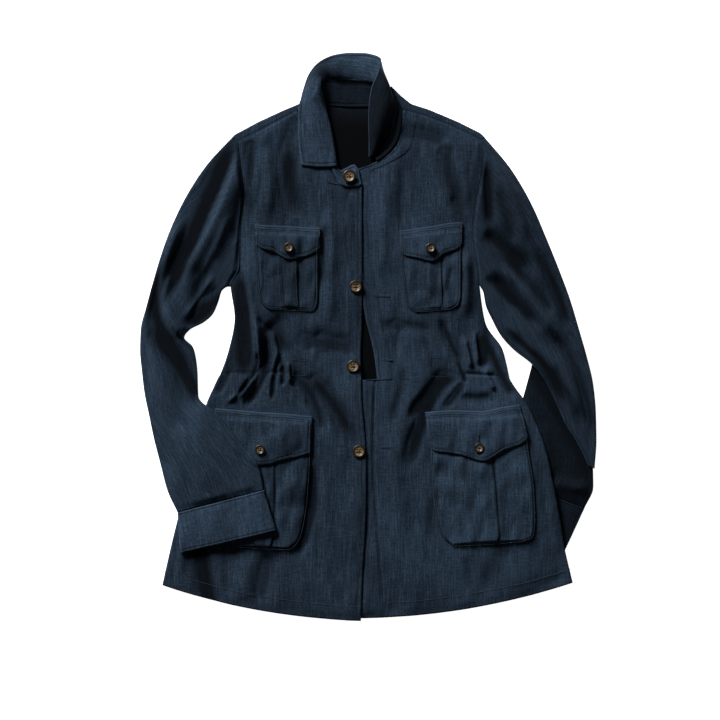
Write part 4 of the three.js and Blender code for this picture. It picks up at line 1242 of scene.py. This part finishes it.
def pocket_piece(rows, bellows, middle, props):
    """A pocket with a box pleat: a raised strip between two tucks, and a rolled outer edge.

    With s the share of the way across and t half the pleat's share, the strip is raised where
    |s - middle| < t, and each tuck is a bell-shaped trough just outside it. The result is the plan,
    the points and the tucks' painted shade.
    """
    shares = np.linspace(0, 1, 75)
    plan_rows = spans(column(rows, "a"), column(rows, "b"), shares, np.zeros(len(rows["a_x"])))
    plan = along(plan_rows, places_for(plan_rows, pitch=2.0))
    across, up = ways(plan)
    width = across[:, -1:]
    rim = np.minimum(np.minimum(across, width - across), up)
    s = across / width
    tuck = props.pleat_share
    off = np.abs(s - middle)
    pleat = smooth((tuck - off) / 0.012)
    z = pile.bed(plan) + WALL
    z = z + 1.4 * pleat * smooth(up / 6) - 0.9 * bell(off - tuck - 0.015, 0.015)
    fall = smooth((up[-1:] - up) / (0.4 * up[-1:].max()))
    z = z + bellows * smooth(rim / 4) * (0.35 + 0.65 * fall)
    z = z + props.crumple * 0.7 * read(MEDIUM, plan) * smooth(rim / 10)
    z = z + (0.5 + 0.03 * bellows) * np.abs(read(BROAD, plan)) * smooth(rim / 14)
    z = z - 0.35 * bell(rim - 3, 1.2)
    z = np.maximum(z, pile.bed(plan) + WALL)
    # Painted shade in the tucks, deeper on the far one
    shade = np.where(s > middle, 0.85, 0.55) * bell(off - tuck, 0.011)
    return plan, lifted(plan, z), shade


def flap_piece(rows):
    """A flap: a flat double cloth with a groove along its stitches. The result is its plan and its points."""
    flat = spans(column(rows, "a"), column(rows, "b"), np.linspace(0, 1, 40), np.zeros(len(rows["a_x"])))
    plan = along(flat, places_for(flat, pitch=1.6))
    across = ways(plan)[0]
    rim = border(plan, ["b", "low", "high"])
    z = pile.bed(plan) + DOUBLE + 0.7 * smooth(across / 8) * smooth(rim / 5)
    z = z + 0.35 * read(MEDIUM, plan) * smooth(rim / 8) - 0.5 * bell(rim - 4.5, 1.3)
    z = z - 0.6 * bell(across - 8, 1.2)
    return plan, lifted(plan, np.maximum(z, pile.bed(plan) + DOUBLE))


class JACKET_OT_pockets(bpy.types.Operator):
    """Makes the chest pockets and the bellows pockets at the hips, with their flaps"""

    bl_idname = "jacket.pockets"
    bl_label = "Pockets and flaps"

    def execute(self, context):
        props = context.scene.jacket_linen
        for name, rows in POCKETS.items():
            bellows, middle = (props.bellows / MM, 0.49) if "hip" in name else (0.6, 0.54)
            plan, grid, shade = pocket_piece(rows, bellows, middle, props)
            # Painted shade across part of some pockets
            if name in POCKET_SHADES:
                place, width, depth = POCKET_SHADES[name]
                across = ways(plan)[0]
                shade = np.clip(shade + depth * bell(across / across[:, -1:] - place, width), 0, MOST_SHADE)
            parts = [(grid, plan, border(plan, ["a", "b", "low"]))]
            piece = build(name + "_cloth", parts, painted_shade=[shade])
            front = name.split("_")[0] + "_front_cloth"
            kind, dye = ("chest", props.dye) if "chest" in name else ("hip", tinted(props.dye, 1.12))
            # A rim below 0 paints shade along the pocket's edges
            finish(piece, linen(f"linen_{kind}_pocket", dye, EDGE_STITCH, rim=-0.9), name, WALL)
            declare([grid], 1, [front])
            pile.lay(grid)
        for name, rows in FLAPS.items():
            plan, grid = flap_piece(rows)
            across = ways(plan)[0]
            # The upper edge's strip counts as very near to its edge, and so the finish paints a highlight on
            # it
            edge = np.where(across < PAINTED_HIGHLIGHT_STRIP, 0.12 * across, 2.2 + border(plan, ALL_SIDES))
            piece = build(name + "_cloth", [(grid, plan, edge)])
            cloth = linen("linen_flap", props.dye, stitch_in=0.0067, rim=0.8)
            finish(piece, cloth, name, DOUBLE)
            declare([grid], 1, [name.replace("flap", "pocket") + "_cloth"])
            pile.lay(grid)
        return {"FINISHED"}


# The collar


def arc(a, b, c, t):
    """The parabola through a at 0, b at a half and c at 1."""
    return (1 - t) * (1 - 2 * t) * a + 4 * t * (1 - t) * b + t * (2 * t - 1) * c


class JACKET_OT_collar(bpy.types.Operator):
    """Makes the collar's band, straight from neck to fold, and its leaf, a parabola from fold to free edge"""

    bl_idname = "jacket.collar"
    bl_label = "Collar"

    def execute(self, context):
        props = context.scene.jacket_linen
        neck, fold, mid, free = (
            np.stack([COLLAR[f"{name}_{axis}"] for axis in "xyz"], -1)[:, None, :]
            for name in ("neck", "fold", "mid", "free")
        )
        places = places_for(np.concatenate([neck, fold, free], axis=1), 2.0)
        low = np.linspace(0, 1, 22)[None, :, None]
        band = along(neck + (fold - neck) * low, places)
        high = np.linspace(0, 1, 34)[None, :, None]
        leaf_rows = arc(fold, mid, free, high)
        leaf = along(leaf_rows[LEAF_STARTS:], places[places >= LEAF_STARTS] - LEAF_STARTS)
        for name, grid in (("collar_band", band), ("collar_leaf", leaf)):
            across = ways(grid)[0]
            rim = border(grid, ["b", "low", "high"])
            grid[..., 2] += 0.4 * read(MEDIUM, grid[..., :2]) * smooth(rim / 8)
            share = smooth(across / 6) if name == "collar_leaf" else np.ones(across.shape)
            lift = np.maximum(pile.bed(grid[..., :2]) + DOUBLE / 2 - grid[..., 2], 0)
            grid[..., 2] += share * lift
            if name == "collar_band":
                grid[..., 2] -= 0.9 * (1 - smooth(across / 4))
            if name == "collar_leaf":
                grid[..., 2] += (1 - share) * (band[-len(grid) :, -1:, 2] - grid[:, :1, 2])
            edge = border(grid, ["b", "low", "high"] if name == "collar_leaf" else ["a", "b", "low"])
            # Painted shade: over the far side, leaving the leaf's free edge light, across the leaf's turn at
            # the back, and on the stand from its row on
            row = places[-len(grid) :, None] + 0 * across
            far = MOST_SHADE * smooth((row - FAR_ROW) / 0.9)
            if name == "collar_leaf":
                turn = bell(row - TURN_ROW, TURN_WIDTH) * (1 - 0.2 * across / across[:, -1:])
                painted_shade = far * smooth((across[:, -1:] - across - 0.6) / 1.6) + 0.85 * turn
            else:
                painted_shade = np.maximum(far, 0.82 * smooth((row - STAND_ROW) / 2))
            piece = build(name + "_cloth", [(grid, marks_of(grid), edge)], painted_shade=[painted_shade])
            # The collar takes the lighter dye, as painted light
            cloth = linen("linen_collar", tinted(props.dye, props.pale), stitch_in=0.005)
            finish(piece, cloth, name, DOUBLE, 0.0)
            declare([grid], 1, ["right_front_cloth", "back_cloth"])
            upper = grid.copy()
            upper[..., 2] += DOUBLE / 2
            pile.lay(upper)
        return {"FINISHED"}


# Sewing and buttons


def stitches(name, paths, pitch=None, stout=1.0):
    """Rows of sewn stitches: six-sided beads along each path, whose ends sink into the cloth.

    A bead fills BEAD_SHARE of the pitch, and its ring at share t of its length has the radius r swell(t).
    """
    props = bpy.context.scene.jacket_stitching
    pitch = pitch or props.pitch / MM
    length, radius = BEAD_SHARE * pitch, stout * props.thread / MM / 2
    starts, turns = [], []
    for path in paths:
        path = np.array(path, float)
        rows = along(path, np.linspace(0, len(path) - 1, 40 * (len(path) - 1) + 1))
        way = np.concatenate([[0], np.cumsum(np.linalg.norm(np.diff(rows, axis=0), axis=-1))])
        at = np.arange(pitch / 2, way[-1], pitch)
        spot, ahead, back = (
            np.stack([np.interp(at + shift, way, rows[:, k]) for k in (0, 1)], -1) for shift in (0, 0.5, -0.5)
        )
        starts.append(spot)
        turns.append(ahead - back)
    spot, way = np.concatenate(starts), np.concatenate(turns)
    way = way / np.maximum(np.linalg.norm(way, axis=-1, keepdims=True), 1e-6)
    t = np.array([-0.5, -0.32, 0, 0.32, 0.5])
    swell = np.array([0.3, 0.85, 1.0, 0.85, 0.3])
    sink = np.array([-0.35, 0.0, 0.12, 0.0, -0.35])
    angle = np.linspace(0, 2 * math.pi, 7)[:-1]
    side = np.stack([-way[:, 1], way[:, 0]], -1)
    line = spot[:, None, :] + way[:, None, :] * (t * length)[None, :, None]
    height = read(widened(pile.top, 1), line) + sink + 0.15
    ring = radius * swell[None, :, None] * np.cos(angle)
    plan = line[:, :, None, :] + side[:, None, None, :] * ring[..., None]
    z = height[:, :, None] + radius * swell[None, :, None] * np.sin(angle)
    points = np.concatenate([plan, np.broadcast_to(z, plan.shape[:3])[..., None]], -1)
    count, rings, sides = points.shape[:3]
    square = quads(rings, sides, True)
    faces = (square[None] + (np.arange(count) * rings * sides)[:, None, None]).reshape(-1, 4)
    cap = np.stack([np.arange(sides), (rings - 1) * sides + np.arange(sides)[::-1]])
    caps = (cap[None] + (np.arange(count) * rings * sides)[:, None, None]).reshape(-1, sides)
    mesh = bpy.data.meshes.new(name)
    mesh.from_pydata((points.reshape(-1, 3) * MM).tolist(), [], faces.tolist() + caps.tolist())
    mesh.polygons.foreach_set("use_smooth", np.ones(len(mesh.polygons), bool))
    mesh.update()
    finish(placed(name, mesh), thread_finish(), None, 0)


def inset(line, way):
    """A line moved to the left of its way by that many mm."""
    line = np.array(line, float)
    step = np.gradient(line, axis=0)
    step /= np.linalg.norm(step, axis=-1, keepdims=True)
    return line + way * np.stack([-step[:, 1], step[:, 0]], -1)


class JACKET_OT_stitching(bpy.types.Operator):
    """Sews the edges, hems, seams, flaps, pockets and the waist's casings"""

    bl_idname = "jacket.stitching"
    bl_label = "Stitching"

    def execute(self, context):
        right_edge = column(BODY, "right_edge")[:14]
        left_edge = column(BODY, "left_edge")
        hem = (0, 23)
        hems = [front_rows("right", 20)[0] + hem, (front_rows("left", 20)[0] + hem)[:-3]]
        edges = [inset(right_edge, 6.5), inset(left_edge[8:12], -6.5)]
        band = [(14, -68), (11, -129), (9, -191), (12, -253), (17, -300), (22, -346), (26, -408)]
        casing_right = [(-116, -36), (-95, -38), (-95, -60), (-116, -61), (-116, -36)]
        casing_left = [(96, -32), (121, -34), (121, -62), (96, -61), (96, -32)]
        stitches("front_stitching", [*hems, *edges, band])
        stitches("waist_stitching", [casing_right, casing_left])
        holes = []
        for x, y, end_x, end_y in BUTTONHOLES:
            ends = np.array([(x, y), (end_x, end_y)], float)
            holes += [inset(ends, 0.9), inset(ends, -0.9)]
        stitches("buttonhole_stitching", holes, pitch=1.0, stout=1.9)
        flap_paths, pocket_paths = [], []
        for rows in FLAPS.values():
            upper, lower = column(rows, "a"), column(rows, "b")
            flap_paths += [upper + (0, -8), upper + (0, -2)]
            flap_paths += [np.vstack([upper[:1] + (4, -10), lower[:1] + (4.5, 3), lower[1:-1] + (0, 4.5)])]
            flap_paths += [np.vstack([lower[-2:-1] + (0, 4.5), lower[-1:] + (-4, 3), upper[-1:] + (-4, -10)])]
        for name, rows in POCKETS.items():
            a, b = column(rows, "a"), column(rows, "b")
            pocket_paths += [np.vstack([a[::-1] + (2, 0), b + (-2, 0)])]
            if "chest" in name:
                middle = (a + b) / 2
                pocket_paths += [middle[:-1] + (-13, 0), middle[:-1] + (13, 0)]
        stitches("flap_stitching", flap_paths)
        stitches("pocket_stitching", pocket_paths)
        return {"FINISHED"}


def button_grid(radius, thick):
    """A turned button: rings out from the middle over a dished face, round its rim and over its flat back.

    Each of four holes lowers the face by its depth times exp(-(distance / radius of the hole)^4); that share,
    clipped and returned second, is the holes' painted shade.
    """
    face = [0, 0.06, 0.12, 0.18, 0.24, 0.3, 0.36, 0.42, 0.5, 0.58, 0.64, 0.7, 0.78, 0.86]
    out = np.array(face + [0.93, 0.98, 1, 0.97, 0.88, 0.5, 0])
    up = np.array([0.6] * 6 + [0.61, 0.62, 0.64, 0.68, 0.76, 0.88, 0.98, 1, 0.94, 0.78, 0.5, 0.2, 0, 0, 0])
    angle = np.linspace(0, 2 * math.pi, 57)[:-1]
    x = radius * out[:, None] * np.cos(angle)
    y = radius * out[:, None] * np.sin(angle)
    z = np.repeat(thick * up[:, None], len(angle), axis=1)
    reach, hole = 0.21 * radius, 0.085 * radius
    dent = np.zeros(x.shape)
    for k in range(4):
        turn = math.pi / 4 + k * math.pi / 2
        away = np.hypot(x - 1.35 * reach * math.cos(turn), y - 1.35 * reach * math.sin(turn))
        dent += np.exp(-((away / (1.4 * hole)) ** 4))
    upper = (np.arange(len(out)) < len(face))[:, None]
    return np.stack([x, y, z - 0.4 * thick * dent * upper], -1), np.clip(dent, 0, 1) * upper


class JACKET_OT_buttons(bpy.types.Operator):
    """Makes the horn buttons, sewn on with crossed thread"""

    bl_idname = "jacket.buttons"
    bl_label = "Buttons"

    def execute(self, context):
        for name, (x, y, across) in BUTTONS.items():
            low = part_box(name)[0]
            grid, holes = button_grid(across / 2, BUTTON_THICK)
            disc = np.stack([x + 0.6 * (grid[10:14, :, 0]), y + 0.6 * (grid[10:14, :, 1])], -1)
            seat = max(low.z / MM, float(read(pile.top, disc).max()) + 0.1)
            grid += (x, y, seat)
            edge = across / 2 - np.hypot(grid[..., 0] - x, grid[..., 1] - y)
            # The holes' share is their painted shade
            piece = build(name + "_horn", [(grid, grid[..., :2], edge)], closed=True, painted_shade=[holes])
            finish(piece, horn_finish(), name, 0)
            self.thread(name, x, y, seat + BUTTON_THICK, across)
        return {"FINISHED"}

    def thread(self, name, x, y, top, across):
        """Four strands side by side over the middle of the button, each a tube on the low arch 1 - t^2."""
        reach = 0.2 * across / 2
        t = np.linspace(-1, 1, 9)
        angle = np.linspace(0, 2 * math.pi, 9)[:-1]
        parts = []
        for shift in (-0.6, -0.2, 0.2, 0.6):
            along_x = np.full(t.shape, shift * reach)
            along_y = t * reach
            height = top - 1.35 + 0.55 * (1 - t**2)
            radius = 0.055 * reach + 0.24
            px = x + along_x[:, None] + radius * np.cos(angle)
            py = np.repeat((y + along_y)[:, None], len(angle), axis=1)
            pz = height[:, None] + radius * np.sin(angle)
            grid = np.stack([px, py, pz], -1)
            parts.append((grid, grid[..., :2], np.full(grid.shape[:2], UNSTITCHED)))
        piece = build(name + "_thread", parts, closed=True)
        finish(piece, thread_finish(), None, 0)


# The stage


class JACKET_OT_stage(bpy.types.Operator):
    """Makes the pale floor, the soft light and the camera overhead"""

    bl_idname = "jacket.stage"
    bl_label = "Stage"

    def execute(self, context):
        props = context.scene.jacket_studio
        half, level = 40, -0.0004
        corners = [(x, y, level) for x, y in ((-half, -half), (half, -half), (half, half), (-half, half))]
        mesh = bpy.data.meshes.new("floor")
        mesh.from_pydata(corners, [], [(0, 1, 2, 3)])
        floor = placed("floor", mesh)
        graph = Graph("floor_paper")
        grain = graph.noise(graph.place(), scale=30.0)
        white = (0.93, 0.93, 0.93, 1.0)
        graph.shade(Base_Color=graph.blend(grain, tinted(white, 0.99), white), Roughness=1.0)
        graph.shade(Emission_Color=white, Emission_Strength=props.floor_glow)
        mesh.materials.append(graph.material)
        self.lamp("key", place=(-5.2, 8.2, 4.8), size=3.4, power=props.key)
        self.lamp("fill", place=(1.4, -1.6, 2.6), size=2.4, power=props.fill)
        world = bpy.data.worlds.new("studio")
        world.use_nodes = True
        background = world.node_tree.nodes["Background"].inputs
        background["Color"].default_value = (1, 1, 1, 1)
        background["Strength"].default_value = props.ambient
        context.scene.world = world
        lens = bpy.data.cameras.new("camera")
        lens.lens = 70
        lens.sensor_width = 36
        camera = placed("camera", lens)
        camera.location = (-0.0124, -0.0364, 2.17)
        context.scene.camera = camera
        context.scene.view_settings.view_transform = "Standard"
        return {"FINISHED"}

    def lamp(self, name, place, size, power):
        """A square soft light that faces the jacket."""
        light = bpy.data.lights.new(name, "AREA")
        light.size = size
        light.energy = power
        lamp = placed(name, light)
        lamp.location = place
        lamp.rotation_euler = (-lamp.location).to_track_quat("-Z", "Y").to_euler()


# Properties, panel and registration


class JacketLinen(bpy.types.PropertyGroup):
    """The cloth"""

    dye: bpy.props.FloatVectorProperty(
        name="Dye",
        description="Colour of the linen",
        subtype="COLOR",
        size=3,
        default=(0.016, 0.0275, 0.0445),
    )
    # Painted light: collar and cuffs take the dye made lighter by this factor, for the light that they catch
    pale: bpy.props.FloatProperty(
        name="Pale", description="Tone of collar and cuffs", default=1.42, min=0.5, max=2, subtype="FACTOR"
    )
    thickness: bpy.props.FloatProperty(
        name="Thickness", description="Of the cloth", default=0.0011, min=0.0003, max=0.0013, unit="LENGTH"
    )
    folds: bpy.props.FloatProperty(
        name="Folds", description="Strength of the folds", default=1.35, min=0, max=2, subtype="FACTOR"
    )
    crumple: bpy.props.FloatProperty(
        name="Crumple", description="Unevenness of the cloth", default=1.5, min=0, max=2, subtype="FACTOR"
    )
    bellows: bpy.props.FloatProperty(
        name="Bellows", description="How far a hip pocket stands off", default=0.0036, min=0, unit="LENGTH"
    )
    pleat_share: bpy.props.FloatProperty(
        name="Pleat",
        description="Half the width of a box pleat as a share of its pocket",
        default=0.13,
        min=0,
        max=0.3,
        subtype="FACTOR",
    )
    slub: bpy.props.FloatProperty(
        name="Slub", description="Strength of thick threads", default=0.6, min=0, max=2, subtype="FACTOR"
    )
    weave: bpy.props.FloatProperty(
        name="Weave", description="Depth of the weave's relief", default=0.55, min=0, max=1, subtype="FACTOR"
    )
    shine: bpy.props.FloatProperty(
        name="Shine", description="Specular level of the linen", default=0.07, min=0, max=1, subtype="FACTOR"
    )
    sheen: bpy.props.FloatProperty(
        name="Sheen", description="Soft light from the fibres", default=0.02, min=0, max=1, subtype="FACTOR"
    )


class JacketStitching(bpy.types.PropertyGroup):
    """The sewing"""

    colour: bpy.props.FloatVectorProperty(
        name="Thread",
        description="Colour of the thread",
        subtype="COLOR",
        size=3,
        default=(0.024, 0.041, 0.066),
    )
    pitch: bpy.props.FloatProperty(
        name="Pitch", description="From stitch to stitch", default=0.0032, min=0.001, unit="LENGTH"
    )
    thread: bpy.props.FloatProperty(
        name="Thread width", description="Width of the thread", default=0.0007, min=0.0002, unit="LENGTH"
    )


class JacketButtons(bpy.types.PropertyGroup):
    """The horn buttons"""

    dark: bpy.props.FloatVectorProperty(
        name="Dark horn",
        description="Colour of the rim",
        subtype="COLOR",
        size=4,
        default=(0.012, 0.008, 0.005, 1),
    )
    light: bpy.props.FloatVectorProperty(
        name="Light horn",
        description="Colour of the middle",
        subtype="COLOR",
        size=4,
        default=(0.24, 0.145, 0.055, 1),
    )


class JacketStudio(bpy.types.PropertyGroup):
    """The floor and lights"""

    key: bpy.props.FloatProperty(
        name="Key", description="Light from the upper left", default=2250, min=0, unit="POWER"
    )
    fill: bpy.props.FloatProperty(
        name="Fill", description="Light from the right", default=3, min=0, unit="POWER"
    )
    ambient: bpy.props.FloatProperty(
        name="Ambient", description="Light from all round", default=0.03, min=0, subtype="FACTOR"
    )
    floor_glow: bpy.props.FloatProperty(
        name="Floor", description="How far the paper is lit through", default=1.1, min=0, subtype="FACTOR"
    )


OPERATORS = (
    JACKET_OT_tucked_forearm,
    JACKET_OT_back,
    JACKET_OT_fronts,
    JACKET_OT_left_sleeve,
    JACKET_OT_pockets,
    JACKET_OT_collar,
    JACKET_OT_stitching,
    JACKET_OT_buttons,
    JACKET_OT_right_sleeve,
    JACKET_OT_stage,
)
GROUPS = {
    "jacket_linen": JacketLinen,
    "jacket_stitching": JacketStitching,
    "jacket_buttons": JacketButtons,
    "jacket_studio": JacketStudio,
}


class JACKET_PT_panel(bpy.types.Panel):
    """Lists the jacket's sizes, colours and pieces"""

    bl_label = "Utility jacket"
    bl_idname = "JACKET_PT_panel"
    bl_space_type = "VIEW_3D"
    bl_region_type = "UI"
    bl_category = "Jacket"

    def draw(self, context):
        for name, group in GROUPS.items():
            box = self.layout.box()
            box.label(text=group.__doc__)
            for prop in group.__annotations__:
                box.prop(getattr(context.scene, name), prop)
        for operator in OPERATORS:
            self.layout.operator(operator.bl_idname)


def register():
    for group in (*GROUPS.values(), *OPERATORS, JACKET_PT_panel):
        bpy.utils.register_class(group)
    for name, group in GROUPS.items():
        setattr(bpy.types.Scene, name, bpy.props.PointerProperty(type=group))


def unregister():
    for name in GROUPS:
        delattr(bpy.types.Scene, name)
    for group in reversed((*GROUPS.values(), *OPERATORS, JACKET_PT_panel)):
        bpy.utils.unregister_class(group)


def main():
    """Makes every piece in the order in which it is laid."""
    register()
    for operator in OPERATORS:
        getattr(bpy.ops.jacket, operator.bl_idname.split(".")[1])()


if __name__ == "__main__":
    main()
